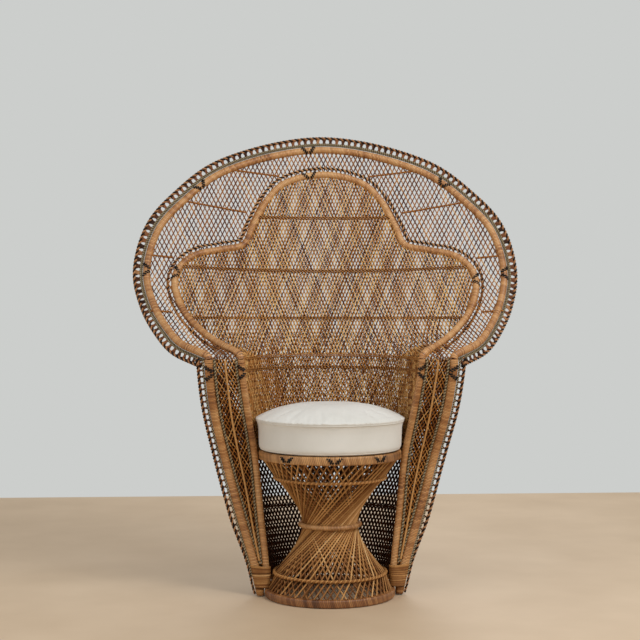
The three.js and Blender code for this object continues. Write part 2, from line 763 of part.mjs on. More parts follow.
function armRib(turn) {
  const points = [];
  const steps = 8;
  for (let k = 0; k <= steps; k += 1) {
    const z = ARM_PANEL_BOTTOM + ((ARM_PANEL_TOP - ARM_PANEL_BOTTOM) * k) / steps;
    const point = armFront(0.5, z);
    point.y -= (SHEET / 2 + RIB_RADIUS) * 1.1 + WEAVE_CLEAR * 1.6;
    points.push(point.toArray());
  }
  return pole(curveThrough(turn(points)), RIB_RADIUS, 12, 5);
}

// Woven walls of the two shells
function addWalls() {
  const wallFoot = BASE_HEIGHT + SILL_RADIUS * 2 + CLEAR * 2;
  addPiece('outer_wall', wallSheet(OUTER_WALL_CELLS, outerShell, wallFoot, OUTER_WALL_TOP), 'weave');
  addPiece('inner_wall', wallSheet(INNER_WALL_CELLS, innerShell, SEAT_BOTTOM, WALL_TOP), 'dark');
  addPiece('back_sill', backSill(), 'cane');
}

function wallSheet([columns, rows], shell, bottom, top) {
  const half = FAN_HALF_WIDTH;
  const cell = (4 * half) / columns;
  const rise = (2 * (top - bottom)) / rows;
  const flat = flatLattice(cell, rise, columns, rows, WALL_OPEN, -half, bottom);
  return wrap(flat, (x, z) => shell(x / half, z));
}

// Sill that carries the foot of the shell round the back of the base hoop, from foot to foot
function backSill() {
  const z = BASE_HEIGHT + CLEAR + SILL_RADIUS;
  const points = [];
  const steps = 16;
  for (let k = 0; k <= steps; k += 1) {
    const share = -1 + (2 * k) / steps;
    const point = outerShell(share * 0.93, z + SILL_RADIUS);
    points.push([point.x, point.y, z]);
  }
  return pole(curveThrough(points), SILL_RADIUS, 24, 8);
}

// Fan back

// Outline offset to one side of a pole in the front view, away from or towards the middle
function offsetOutline(path, count, distance) {
  const points = [];
  for (let k = 0; k <= count; k += 1) {
    const at = path.getPointAt(k / count);
    const along = path.getTangentAt(k / count);
    const length = Math.hypot(along.x, along.z);
    points.push([at.x - (along.z / length) * distance, at.z + (along.x / length) * distance, at.y]);
  }
  return points;
}

function addFan() {
  addPiece('outer_arch', pole(arch, ARCH_RADIUS, ARCH_STEPS), 'cane');
  addPiece('trefoil_arch', pole(trefoil, TREFOIL_RADIUS, TREFOIL_STEPS), 'cane');
  addPiece('trefoil_panel', trefoilPanel(), 'weave');
  addPiece('fan_band', fanBand(), 'weave');
}

// Flat coordinate of the trefoil panel for a point of the front view
function trefoilShare(x, z) {
  let share = 0;
  let span = 1.2;
  for (let k = 0; k < 24; k += 1) {
    span /= 2;
    if (innerShell(share + span, z).x <= Math.abs(x)) share += span;
  }
  return Math.sign(x) * share;
}

// Lattice of a cell size that covers the fan from a height up, trimmed to an outline
function fanLattice([width, height], halfWidth, bottom, top, outline) {
  const columns = 2 * Math.ceil((2 * halfWidth) / width);
  const rows = 2 * Math.ceil((top - bottom) / height);
  const left = (-columns * width) / 4;
  const flat = solid(flatLattice(width, height, columns, rows, FAN_OPEN, left, bottom - BAND_LAP));
  return geometryOf(largest(flat.intersect(outlinePrism(outline))));
}

const TREFOIL_CORNER = 0.93;

function trefoilPanel() {
  const margin = TREFOIL_RADIUS + WEAVE_CLEAR * 2;
  const half = TREFOIL_HALF_WIDTH;
  const edge = offsetOutline(trefoil, 90, -margin)
    .filter(([, z]) => z > PANEL_BOTTOM)
    .map(([x, z]) => [trefoilShare(x, z) * half, z]);
  const corner = TREFOIL_CORNER * half;
  const outline = [[-corner, PANEL_BOTTOM], ...edge, [corner, PANEL_BOTTOM]];
  const flat = fanLattice(TREFOIL_CELL, half, PANEL_BOTTOM, TREFOIL_TOP, outline);
  return wrap(flat, (x, z) => innerShell(x / half, z));
}

// Open band between the trefoil and the arch
function bandY(x, z) {
  if (z >= FAN_WIDEST_HEIGHT) return fanY(x, z);
  const inner = innerRim(z);
  const outer = outerRim(z);
  const share = (Math.abs(x) - inner.x) / (outer.x - inner.x);
  return lerp(inner.y, outer.y, clamp(share, -0.5, 1.5));
}

function fanBand() {
  const keep = ([, z]) => z > BAND_BOTTOM;
  const outside = offsetOutline(arch, 60, -(ARCH_RADIUS + BAND_CLEAR)).filter(keep);
  const inside = offsetOutline(trefoil, 90, TREFOIL_RADIUS + WEAVE_CLEAR * 2.5).filter(keep);
  const outline = [...outside, ...inside.reverse()];
  const flat = fanLattice(BAND_CELL, FAN_HALF_WIDTH, BAND_BOTTOM, FAN_TOP, outline);
  return wrap(flat, (x, z) => new THREE.Vector3(x, bandY(x, z), z));
}

// Twined rows: the first joins the inner wall to the trefoil panel, the others lie behind the panel
function addRows() {
  const onSheet = SHEET / 2 + ROW_RADIUS + WEAVE_CLEAR + CLEAR;
  addPiece('back_row_1', twinedRow(SEAM_ROW_HEIGHT, SEAM_ROW_REACH, 0), 'dark');
  BACK_ROWS.forEach(([share, setback], k) => {
    const z = lerp(SEAM_ROW_HEIGHT, TREFOIL_TOP, share);
    const away = onSheet + setback;
    addPiece(`back_row_${k + 2}`, twinedRow(z, rowReach(z, away), away), 'dark');
  });
}

function rowPoint(share, z, away) {
  const nudge = 0.01;
  const point = innerShell(share, z);
  const along = innerShell(share + nudge, z).sub(innerShell(share - nudge, z)).normalize();
  return new THREE.Vector3(point.x - along.y * away, point.y + along.x * away, z);
}

function twinedRow(z, reach, away) {
  const points = [];
  const steps = 10;
  for (let s = 0; s <= steps; s += 1) {
    points.push(rowPoint((-1 + (2 * s) / steps) * reach, z, away).toArray());
  }
  return pole(curveThrough(points), ROW_RADIUS, 14, 5);
}

// Share of the panel's width that a row reaches before its end meets the trefoil
function rowReach(z, away) {
  const edge = trefoil.getPoints(600).filter((p) => p.x > 0);
  const apart = TREFOIL_RADIUS + CLEAR;
  const step = 0.001;
  const isFree = (share) => {
    const cap = [[away, 0], [away - ROW_RADIUS, 0], [away, ROW_RADIUS], [away, -ROW_RADIUS]];
    return cap.every(([back, up]) => {
      const corner = rowPoint(share, z, back);
      corner.z += up;
      return edge.every((p) => p.distanceTo(corner) > apart);
    });
  };
  let share = 0.3;
  while (share < 1 && isFree(share + step)) share += step;
  return share;
}

// Woven border outside the arch and the outer arm poles

function addBorder() {
  const nearPole = ARCH_RADIUS + OPENWORK_RADIUS;
  const nearPlait = BORDER - PLAIT_RADIUS - WEAVE_CLEAR - OPENWORK_RADIUS;
  const toPoint = ([x, z, y]) => [x, y, z];
  const fanEdge = offsetOutline(arch, 44, BORDER).map(toPoint);
  addPiece('fan_edge', pole(curveThrough(fanEdge), PLAIT_RADIUS, 46, 6), 'dark');
  const low = offsetOutline(arch, FAN_ZIGZAGS, nearPole).map(toPoint);
  const high = offsetOutline(arch, FAN_ZIGZAGS, nearPlait).map(toPoint);
  const zigzag = low.map((point, k) => (k % 2 === 1 ? point : high[k]));
  addPiece('fan_openwork', pole(curveThrough(zigzag), OPENWORK_RADIUS, FAN_ZIGZAGS * 2, 4), 'weave');
  for (const [side, sign] of [['left', -1], ['right', 1]]) addArmBorder(side, sign);
}

// Distance of the arm's plait from its pole: it closes in on the foot binding
function armBorder(z) {
  const atFoot = FOOT_BINDING_DEPTH + CLEAR + PLAIT_RADIUS;
  return lerp(atFoot, ARM_BORDER, smoothstep(z, FOOT_TOP, ARM_BORDER_FULL));
}

function addArmBorder(side, sign) {
  const top = ARM_TOP - ARM_EDGE_DROP;
  const nearPole = OUTER_POLE_RADIUS + WEAVE_CLEAR + OPENWORK_RADIUS;
  const besidePlait = PLAIT_RADIUS + CLEAR + OPENWORK_RADIUS;
  const beside = (z, distance) => {
    const rim = outerRim(z);
    return [sign * (rim.x + distance), rim.y, z];
  };
  const edge = [];
  const steps = 14;
  for (let k = 0; k <= steps; k += 1) {
    const z = lerp(ARM_EDGE_FOOT, top, k / steps);
    edge.push(beside(z, armBorder(z)));
  }
  addPiece(`arm_edge_${side}`, pole(curveThrough(edge), PLAIT_RADIUS, 18, 6), 'dark');
  const zigzag = [];
  for (let k = 0; k <= ARM_ZIGZAGS; k += 1) {
    const z = lerp(ARM_OPENWORK_FOOT, top, k / ARM_ZIGZAGS);
    zigzag.push(beside(z, k % 2 === 0 ? nearPole : armBorder(z) - besidePlait));
  }
  const openwork = pole(curveThrough(zigzag), OPENWORK_RADIUS, ARM_ZIGZAGS * 2, 4);
  addPiece(`arm_openwork_${side}`, openwork, 'weave');
}

addPedestal();
addSeat();
addCushion();
addArms();
addWalls();
addFan();
addRows();
addBorder();

// The origin is the middle of the footprint of the whole chair, on the floor
const box = new THREE.Box3().setFromObject(chair);
chair.position.y = -(box.min.y + box.max.y) / 2;

export default chair;
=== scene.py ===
"""Peacock chair: peel-wrapped poles, woven shell and fan, hourglass of crossing canes, loose cushion."""
import math
from collections import namedtuple

import bpy
import numpy as np
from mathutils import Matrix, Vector
from mathutils.bvhtree import BVHTree


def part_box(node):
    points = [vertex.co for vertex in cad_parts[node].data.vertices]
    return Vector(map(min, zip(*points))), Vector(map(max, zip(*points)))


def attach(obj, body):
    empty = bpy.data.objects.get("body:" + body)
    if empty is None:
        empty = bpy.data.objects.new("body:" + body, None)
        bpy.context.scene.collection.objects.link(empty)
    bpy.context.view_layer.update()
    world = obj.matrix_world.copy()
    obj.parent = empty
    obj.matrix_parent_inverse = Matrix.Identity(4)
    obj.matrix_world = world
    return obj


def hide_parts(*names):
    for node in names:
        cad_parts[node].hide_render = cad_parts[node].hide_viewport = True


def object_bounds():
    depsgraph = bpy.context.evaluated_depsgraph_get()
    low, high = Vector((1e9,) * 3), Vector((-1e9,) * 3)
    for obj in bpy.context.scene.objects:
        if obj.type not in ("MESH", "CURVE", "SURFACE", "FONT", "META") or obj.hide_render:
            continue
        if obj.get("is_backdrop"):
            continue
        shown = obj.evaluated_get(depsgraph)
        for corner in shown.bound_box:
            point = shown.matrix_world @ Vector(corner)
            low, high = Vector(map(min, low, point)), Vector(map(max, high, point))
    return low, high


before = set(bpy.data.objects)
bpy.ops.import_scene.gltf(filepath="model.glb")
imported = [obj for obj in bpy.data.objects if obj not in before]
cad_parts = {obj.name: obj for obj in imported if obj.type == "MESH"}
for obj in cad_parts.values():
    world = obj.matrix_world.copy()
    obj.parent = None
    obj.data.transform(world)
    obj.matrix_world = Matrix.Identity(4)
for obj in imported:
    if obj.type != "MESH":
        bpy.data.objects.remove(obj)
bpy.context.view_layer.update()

# Sizes of the chair in millimetres, fitted to the part
BASE_RADIUS, BASE_WIDTH, BASE_HEIGHT = 200, 24, 25
SEAT_RADIUS, SEAT_WIDTH, SEAT_BOTTOM, SEAT_HEIGHT = 219, 22, 421, 26
SEAT_TOP = SEAT_BOTTOM + SEAT_HEIGHT
LOWER_RING_RADIUS, LOWER_RING_HEIGHT = 166, 74
UPPER_RING_RADIUS, UPPER_RING_HEIGHT = 165, 363
STRAND_FOOT, STRAND_HEAD = 190, 209
TWIST, END_TWIST = math.radians(120), math.radians(12)
POLE_FOOT, FOOT_TOP, ARM_START = 28, 93, SEAT_BOTTOM - 14
ARM_TOP, ARM_REACH, ARM_INNER, ARM_OUTER = 728, 98, 272, 369
ARM_KNEE, ARM_BEND = 0.46, ARM_TOP - 16
FAN_TOP, FAN_HALF, FAN_WIDEST = 1405, 572, 998
TREFOIL_TOP, TREFOIL_HALF = 1322, 485
ARCH_RADIUS, TREFOIL_RADIUS, INNER_RADIUS, OUTER_RADIUS = 11, 10, 10, 13
BACK_FOOT, BACK_LEAN, BACK_BEND, FAN_BOW = 213, 0.06, 34e-6, 0.0004
SEAM_ROW, WALL_TOP, OUTER_WALL_TOP = 727, 723, 800
WALL_FOOT = BASE_HEIGHT + 18
WALL_GAP = 14
SILL_RADIUS, SILL_CLEAR = 9, 0.3
BORDER = 38.6
CUSHION_BOTTOM, CUSHION_SEAM, CUSHION_TOP, CUSHION_RADIUS = 447.6, 537, 589, 236

# Poles of the fan above its widest place: shares across and up
ARCH_CROWN = [(0, 1), (0.57, 0.81), (0.8, 0.563), (0.94, 0.322), (1, 0)]
TREFOIL_CROWN = [(0, 1), (0.266, 0.907), (0.388, 0.728), (0.485, 0.457), (0.544, 0.278),
                 (0.699, 0.222), (0.874, 0.16), (0.977, 0.025)]

# Poles of the fan from there down to the arm: shares across, back and up
ARCH_FLARE = [(0.877, 0.764, 0.618), (0.621, 0.433, 0.315), (0.433, 0.258, 0.174),
              (0.138, 0.064, 0.078), (0, 0, 0.03)]
TREFOIL_FLARE = [(1, 0.958, 0.859), (0.873, 0.738, 0.563), (0.601, 0.48, 0.322),
                 (0.263, 0.189, 0.148), (0.066, 0.035, 0.078), (0, 0, 0.03)]

# Steps along an outline, a pole and its trim
OUTLINE_STEP, POLE_STEP, TRIM_STEP = 14, 12, 8

low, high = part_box("base_hoop")
MIDDLE = Vector((0, (low.y + high.y) / 2, 0))
rng = np.random.default_rng(7)


# Curves and surfaces of the chair

def lerp(a, b, share):
    return a + (b - a) * share


def smoothstep(value, start, end):
    share = np.clip((np.asarray(value, float) - start) / (end - start), 0, 1)
    return share * share * (3 - 2 * share)


def unit(v):
    return v / np.maximum(np.linalg.norm(v, axis=-1, keepdims=True), 1e-9)


def smooth_path(points, per=30):
    """Centripetal spline through the points."""
    p = np.array(points, float)
    q = np.vstack([2 * p[0] - p[1], p, 2 * p[-1] - p[-2]])
    t = np.linspace(0, 1, per, endpoint=False)[:, None]
    out = []
    for k in range(len(p) - 1):
        p0, p1, p2, p3 = q[k:k + 4]
        d0, d1, d2 = np.maximum(np.sum(np.diff(q[k:k + 4], axis=0) ** 2, axis=1) ** 0.25, 1e-4)
        m1 = ((p1 - p0) / d0 - (p2 - p0) / (d0 + d1) + (p2 - p1) / d1) * d1
        m2 = ((p2 - p1) / d1 - (p3 - p1) / (d1 + d2) + (p3 - p2) / d2) * d1
        square = 3 * (p2 - p1) - 2 * m1 - m2
        cube = 2 * (p1 - p2) + m1 + m2
        out.append(p1 + m1 * t + square * t ** 2 + cube * t ** 3)
    return np.vstack(out + [p[-1:]])


def evenly(path, step):
    """The path at even steps, and the length up to each point."""
    s = np.r_[0, np.cumsum(np.linalg.norm(np.diff(path, axis=0), axis=1))]
    at = np.linspace(0, s[-1], max(3, int(round(s[-1] / step)) + 1))
    return np.stack([np.interp(at, s, path[:, k]) for k in range(3)], 1), at


def sides_of(path):
    """Outward and forward directions along a path that runs from left to right over the chair."""
    along = unit(np.gradient(path, axis=0))
    front = np.array([0, -1.0, 0])
    front = unit(front - (along @ front)[:, None] * along)
    return np.cross(front, along), front


def mirrored(path):
    return path * np.array([-1, 1, 1])


def as_it_is(path):
    return path


SIDES = (("left", mirrored), ("right", as_it_is))


def turned(strands, turn):
    """The strands of the right side, on the side that the turn gives."""
    return [(turn(line), girth, tone) for line, girth, tone in strands]


def arm_y(z):
    return -ARM_REACH * smoothstep(z, ARM_START, ARM_TOP)


def arm_pole(foot_x, lean, seat_x, top_x, fullness):
    """Line of an arm's pole: it leans out above its foot, and fullness swells it under the top."""
    foot_top = foot_x + lean
    middle, above = (POLE_FOOT + SEAT_TOP) / 2, (SEAT_TOP + ARM_TOP) / 2
    return smooth_path([
        (foot_x, 0, POLE_FOOT), (foot_top, 0, FOOT_TOP), (lerp(foot_top, seat_x, ARM_KNEE), 0, middle),
        (seat_x, arm_y(SEAT_BOTTOM), SEAT_BOTTOM), (lerp(seat_x, top_x, fullness), arm_y(above), above),
        (top_x, arm_y(ARM_BEND), ARM_BEND), (top_x, -ARM_REACH, ARM_TOP),
    ])


def back_y(z):
    return BACK_FOOT + BACK_LEAN * z + BACK_BEND * z * z


def fan_y(x, z):
    return back_y(z) - FAN_BOW * x * x


def fan_pole(crown, flare, half, top, arm_x):
    """Line of a pole of the fan, from the left arm over the top to the right arm."""
    points = []
    for across, up in crown:
        x, z = half * across, lerp(FAN_WIDEST, top, up)
        points.append((x, fan_y(x, z), z))
    for across, back, up in flare:
        x, z = lerp(arm_x, half, across), lerp(ARM_TOP, FAN_WIDEST, up)
        points.append((x, lerp(-ARM_REACH, fan_y(x, z), back), z))
    points.append((arm_x, -ARM_REACH, ARM_TOP + 1))
    other = [(-x, y, z) for x, y, z in points]
    return smooth_path(other[:0:-1] + points)


inner_pole = arm_pole(foot_x=196, lean=1, seat_x=230, top_x=ARM_INNER, fullness=0.62)
outer_pole = arm_pole(foot_x=215, lean=15, seat_x=321, top_x=ARM_OUTER, fullness=0.74)
arch = fan_pole(ARCH_CROWN, ARCH_FLARE, FAN_HALF, FAN_TOP, ARM_OUTER)
trefoil = fan_pole(TREFOIL_CROWN, TREFOIL_FLARE, TREFOIL_HALF, TREFOIL_TOP, ARM_INNER)


def rim_of(lower, upper):
    """Place of a shell's edge at a height: the arm pole below, the pole of the fan above."""
    points = np.vstack([lower, upper[(upper[:, 0] > 0) & (upper[:, 2] < FAN_WIDEST)]])
    points = points[np.argsort(points[:, 2])]
    return lambda z: (np.interp(z, points[:, 2], points[:, 0]), np.interp(z, points[:, 2], points[:, 1]))


inner_rim = rim_of(inner_pole, trefoil)
outer_rim = rim_of(outer_pole, arch)


def shell(rim, gap):
    """A wall from rim to rim round the back: a half ellipse low down, a shallow bow in the fan."""
    def at(share, z):
        share, z = np.asarray(share, float), np.asarray(z, float)
        x, y = rim(z)
        bow = smoothstep(z, WALL_TOP, FAN_WIDEST)
        back = back_y(z) - gap(z)
        angle = share * math.pi / 2
        across = x * lerp(np.sin(angle), share, bow)
        deep = back - (back - y) * lerp(1 - np.cos(angle), share * share, bow)
        return np.stack([across, deep, z + 0 * across], -1)
    return at


def gap_of_walls(z):
    """Distance of the inner wall from the outer one at the back: they join in the fan."""
    return WALL_GAP * (1 - smoothstep(z, OUTER_WALL_TOP, FAN_WIDEST))


outer_shell = shell(outer_rim, lambda z: 0)
inner_shell = shell(inner_rim, gap_of_walls)


def arm_front(share, z):
    """Point between the inner and the outer arm pole."""
    share, z = np.asarray(share, float), np.asarray(z, float)
    (ax, ay), (bx, by) = inner_rim(z), outer_rim(z)
    return np.stack([lerp(ax, bx, share), lerp(ay, by, share), z + 0 * share], -1)


def slope_lengths(heights):
    """Length along the band up to each height, with its slope below the fan's widest place."""
    depth = np.where(heights < FAN_WIDEST, outer_rim(heights)[1], 0)
    forward = np.diff(depth) * (heights[1:] < FAN_WIDEST - 2)
    return np.cumsum(np.r_[0, np.hypot(np.diff(heights), forward)])


# The band's height along its slope, so that the weave keeps its size on the arms
SLOPE_HEIGHTS = np.linspace(ARM_TOP, FAN_TOP + 20, 700)
SLOPE_LENGTHS = slope_lengths(SLOPE_HEIGHTS)


def band(x, rise):
    """Point of the band between the trefoil and the arch."""
    x = np.asarray(x, float)
    z = np.interp(rise, SLOPE_LENGTHS, SLOPE_HEIGHTS)
    (ax, ay), (bx, by) = inner_rim(z), outer_rim(z)
    share = np.clip((np.abs(x) - ax) / (bx - ax), -0.5, 1.5)
    y = np.where(z >= FAN_WIDEST, fan_y(x, z), lerp(ay, by, share))
    return np.stack([x, y, z], -1)


def within(outline, x, z):
    """Which points lie inside a closed outline of the front view."""
    x, z = np.atleast_1d(x), np.atleast_1d(z)
    a, b = outline, np.roll(outline, -1, axis=0)
    crosses = (a[:, 1] > z[:, None]) != (b[:, 1] > z[:, None])
    run = (b[:, 1] - a[:, 1]) + 1e-12
    at = a[:, 0] + (b[:, 0] - a[:, 0]) * (z[:, None] - a[:, 1]) / run
    return (crosses & (x[:, None] < at)).sum(1) % 2 == 1


def outline_of(path, distance=0):
    """Front view of a pole's line, moved outwards."""
    line, _ = evenly(path, OUTLINE_STEP)
    out, _ = sides_of(line)
    return (line + out * distance)[:, [0, 2]]


# Node trees: canes that follow paths, and peel wound round a pole

def new_tree(name, inputs):
    tree = bpy.data.node_groups.new(name, "GeometryNodeTree")
    tree.interface.new_socket("Geometry", in_out="INPUT", socket_type="NodeSocketGeometry")
    for label, kind in inputs:
        tree.interface.new_socket(label, in_out="INPUT", socket_type="NodeSocket" + kind)
    tree.interface.new_socket("Geometry", in_out="OUTPUT", socket_type="NodeSocketGeometry")
    return tree


def node_maker(tree):
    """A function that adds a node, sets its properties and links or sets its inputs."""
    def add(kind, values=None, **settings):
        node = tree.nodes.new(kind)
        for key, value in settings.items():
            setattr(node, key, value)
        for key, value in (values or {}).items():
            socket = node.inputs[key]
            if isinstance(value, bpy.types.NodeSocket):
                tree.links.new(value, socket)
            else:
                socket.default_value = value
        return node
    return add


def stored(add, geometry, name, value):
    """The geometry with a number kept at each of its points."""
    node = add("GeometryNodeStoreNamedAttribute", {"Geometry": geometry, "Name": name, "Value": value},
               data_type="FLOAT", domain="POINT")
    return node.outputs[0]


def finish_tree(add, given, geometry):
    """Ends a tree: smooth shading, real meshes and the finish."""
    shaded = add("GeometryNodeSetShadeSmooth", {0: geometry, "Shade Smooth": True})
    whole = add("GeometryNodeRealizeInstances", {0: shaded.outputs[0]})
    finished = add("GeometryNodeSetMaterial", {0: whole.outputs[0], "Material": given.outputs["Finish"]})
    add("NodeGroupOutput", {0: finished.outputs[0]})


def cane_tree():
    """Round canes along the given lines, each with its own girth."""
    tree = new_tree("canes_on_paths", [("Sides", "Int"), ("Finish", "Material")])
    add = node_maker(tree)
    given = add("NodeGroupInput")
    lines = add("GeometryNodeMeshToCurve", {0: given.outputs["Geometry"]})
    girth = add("GeometryNodeInputNamedAttribute", {"Name": "girth"}, data_type="FLOAT")
    length = add("GeometryNodeSplineParameter")
    marked = stored(add, lines.outputs[0], "along", length.outputs["Length"])
    section = add("GeometryNodeCurvePrimitiveCircle", {"Resolution": given.outputs["Sides"], "Radius": 1.0})
    swept = add("GeometryNodeCurveToMesh", {"Curve": marked, "Profile Curve": section.outputs[0],
                                            "Scale": girth.outputs[0], "Fill Caps": True})
    finish_tree(add, given, swept.outputs[0])
    return tree


def peel_tree():
    """A pole of rounded section wound with flat peel: each turn is a low ridge, made in four steps."""
    tree = new_tree("peel_wound_pole", [("Width", "Float"), ("Height", "Float"), ("Corner", "Float"),
                                        ("Turn", "Float"), ("Groove", "Float"), ("Finish", "Material")])
    add = node_maker(tree)

    def maths(operation, a, b=0.0):
        return add("ShaderNodeMath", {0: a, 1: b}, operation=operation).outputs[0]

    given = add("NodeGroupInput")
    lines = add("GeometryNodeMeshToCurve", {0: given.outputs["Geometry"]})
    fine = maths("DIVIDE", given.outputs["Turn"], 4.0)
    close = add("GeometryNodeResampleCurve", {"Curve": lines.outputs[0], "Length": fine}, mode="LENGTH")
    upright = add("GeometryNodeSetCurveNormal", {"Curve": close.outputs[0]}, mode="Z_UP")
    length = add("GeometryNodeSplineParameter")
    marked = stored(add, upright.outputs[0], "along", length.outputs["Length"])
    square = add("GeometryNodeCurvePrimitiveQuadrilateral",
                 {0: given.outputs["Width"], 1: given.outputs["Height"]})
    rounded = add("GeometryNodeFilletCurve", {"Curve": square.outputs[0], "Count": 4,
                                              "Radius": given.outputs["Corner"]}, mode="POLY")
    part = add("GeometryNodeSplineParameter")
    ringed = stored(add, rounded.outputs[0], "round", part.outputs["Factor"])
    swept = add("GeometryNodeCurveToMesh", {"Curve": marked, "Profile Curve": ringed, "Fill Caps": True})
    along = add("GeometryNodeInputNamedAttribute", {"Name": "along"}, data_type="FLOAT")
    around_pole = add("GeometryNodeInputNamedAttribute", {"Name": "round"}, data_type="FLOAT")
    turns = maths("ADD", maths("DIVIDE", along.outputs[0], given.outputs["Turn"]), around_pole.outputs[0])
    counted = stored(add, swept.outputs[0], "turn", turns)
    crown = maths("SINE", maths("MULTIPLY", maths("FRACT", turns), math.pi))
    depth = maths("MULTIPLY", maths("SUBTRACT", crown, 1.0), given.outputs["Groove"])
    facing = add("GeometryNodeInputNormal")
    push = add("ShaderNodeVectorMath", {0: facing.outputs[0], "Scale": depth}, operation="SCALE")
    wound = add("GeometryNodeSetPosition", {"Geometry": counted, "Offset": push.outputs[0]})
    finish_tree(add, given, wound.outputs[0])
    return tree


CANES, PEEL = cane_tree(), peel_tree()


def keep_shape(piece):
    """Replaces a piece's live modifiers by the shape they give."""
    graph = bpy.context.evaluated_depsgraph_get()
    shape = bpy.data.meshes.new_from_object(piece.evaluated_get(graph))
    piece.modifiers.clear()
    old, piece.data = piece.data, shape
    bpy.data.meshes.remove(old)


def grown(name, tree, points, edges, fields, inputs):
    """Runs a tree on lines and keeps the result as a plain mesh piece."""
    mesh = bpy.data.meshes.new(name)
    mesh.from_pydata([tuple(p) for p in points], [tuple(e) for e in edges], [])
    for label, values in fields.items():
        field = mesh.attributes.new(label, "FLOAT", "POINT")
        field.data.foreach_set("value", np.asarray(values, np.float32))
    piece = bpy.data.objects.new(name, mesh)
    bpy.context.scene.collection.objects.link(piece)
    modifier = piece.modifiers.new("shape", "NODES")
    modifier.node_group = tree
    for item in tree.interface.items_tree:
        if item.in_out == "INPUT" and item.name in inputs:
            modifier[item.identifier] = inputs[item.name]
    keep_shape(piece)
    return piece


def metres(points):
    """Points of the chair in millimetres, in metres of the frame."""
    return np.asarray(points, float) / 1000 + np.array(MIDDLE)


def settle(piece, replaced=(), body="chair"):
    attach(piece, body)
    if replaced:
        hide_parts(*replaced)
    return piece


def canes(name, strands, finish, replaced=(), sides=5, body="chair"):
    """One piece of many canes: each strand is its points, its girth and its tone, and may be closed."""
    points, edges, girths, tones = [], [], [], []
    for line, girth, tone, *closed in strands:
        start = len(points)
        points.extend(line)
        girths.extend(np.broadcast_to(girth, len(line)))
        tones.extend(np.broadcast_to(tone, len(line)))
        edges.extend((start + k, start + k + 1) for k in range(len(line) - 1))
        if closed:
            edges.append((start + len(line) - 1, start))
    fields = {"girth": np.array(girths) / 1000, "tone": tones}
    piece = grown(name, CANES, metres(points), edges, fields, {"Sides": sides, "Finish": finish})
    return settle(piece, replaced, body)


# Share of a section that each corner rounds off: a pole's is round, a hoop's is nearly square
ROUND, SQUARED = 0.49, 0.24

# Width of a turn of peel, and depth of the groove between turns
POLE_TURN, HOOP_TURN, WAIST_TURN, GROOVE = 4.8, 5.2, 4.4, 0.8


def wound_pole(name, path, size, finish, replaced, turn=POLE_TURN, corner=ROUND, closed=False):
    """A pole wound with peel. Size is the width and height of its section."""
    line, _ = evenly(path, POLE_STEP)
    if closed:
        line = line[:-1]
    edges = [(k, k + 1) for k in range(len(line) - 1)]
    if closed:
        edges.append((len(line) - 1, 0))
    width, height = size
    piece = grown(name, PEEL, metres(line), edges, {}, {
        "Width": width / 1000, "Height": height / 1000, "Corner": min(size) * corner / 1000,
        "Turn": turn / 1000, "Groove": GROOVE / 1000, "Finish": finish})
    return settle(piece, replaced)


def round_section(radius):
    return 2 * radius, 2 * radius


# Finishes

def srgb(*values):
    """Colour for a shader from red, green and blue up to 255."""
    def linear(share):
        return share / 12.92 if share <= 0.04 else ((share + 0.055) / 1.055) ** 2.4
    return tuple(linear(v / 255) for v in values) + (1.0,)


def new_finish(name):
    finish = bpy.data.materials.new(name)
    finish.use_nodes = True
    tree = finish.node_tree
    return finish, tree, node_maker(tree), tree.nodes["Principled BSDF"]


def noise(add, place, scale, detail, **more):
    inputs = {"Vector": place, "Scale": scale, "Detail": detail, **more}
    return add("ShaderNodeTexNoise", inputs).outputs["Fac"]


def ramp_of(add, value, stops):
    ramp = add("ShaderNodeValToRGB", {"Fac": value})
    ends = ramp.color_ramp.elements
    while len(ends) < len(stops):
        ends.new(0.5)
    for element, (place, colour) in zip(ends, stops):
        element.position = place
        element.color = colour
    return ramp.outputs["Color"]


def roughen(tree, add, shader, height, strength, distance):
    """Fine bumps on a finish."""
    bump = add("ShaderNodeBump", {"Height": height, "Strength": strength, "Distance": distance})
    tree.links.new(bump.outputs[0], shader.inputs["Normal"])


def vary_gloss(tree, add, shader, value, least, most):
    gloss = add("ShaderNodeMapRange", {"Value": value, "To Min": least, "To Max": most})
    tree.links.new(gloss.outputs[0], shader.inputs["Roughness"])


def cane_finish(name, stops, rough=0.5, spread=0.3, scale=60):
    """Split cane: the strand's own tone, mottled along its length, with fine fibres."""
    finish, tree, add, shader = new_finish(name)
    place = add("ShaderNodeTexCoord").outputs["Object"]
    tone = add("ShaderNodeAttribute", attribute_name="tone", attribute_type="GEOMETRY").outputs["Fac"]
    mottle = noise(add, place, scale, detail=4.0, Roughness=0.65)
    shift = add("ShaderNodeMath", {0: mottle, 1: -0.5}, operation="ADD").outputs[0]
    mixed = add("ShaderNodeMath", {0: shift, 1: spread, 2: tone}, operation="MULTIPLY_ADD").outputs[0]
    tree.links.new(ramp_of(add, mixed, stops), shader.inputs["Base Color"])
    fibres = noise(add, place, scale=900.0, detail=3.0)
    roughen(tree, add, shader, fibres, strength=0.25, distance=0.0004)
    vary_gloss(tree, add, shader, mottle, least=rough - 0.1, most=rough + 0.12)
    shader.inputs["Specular IOR Level"].default_value = 0.18
    return finish


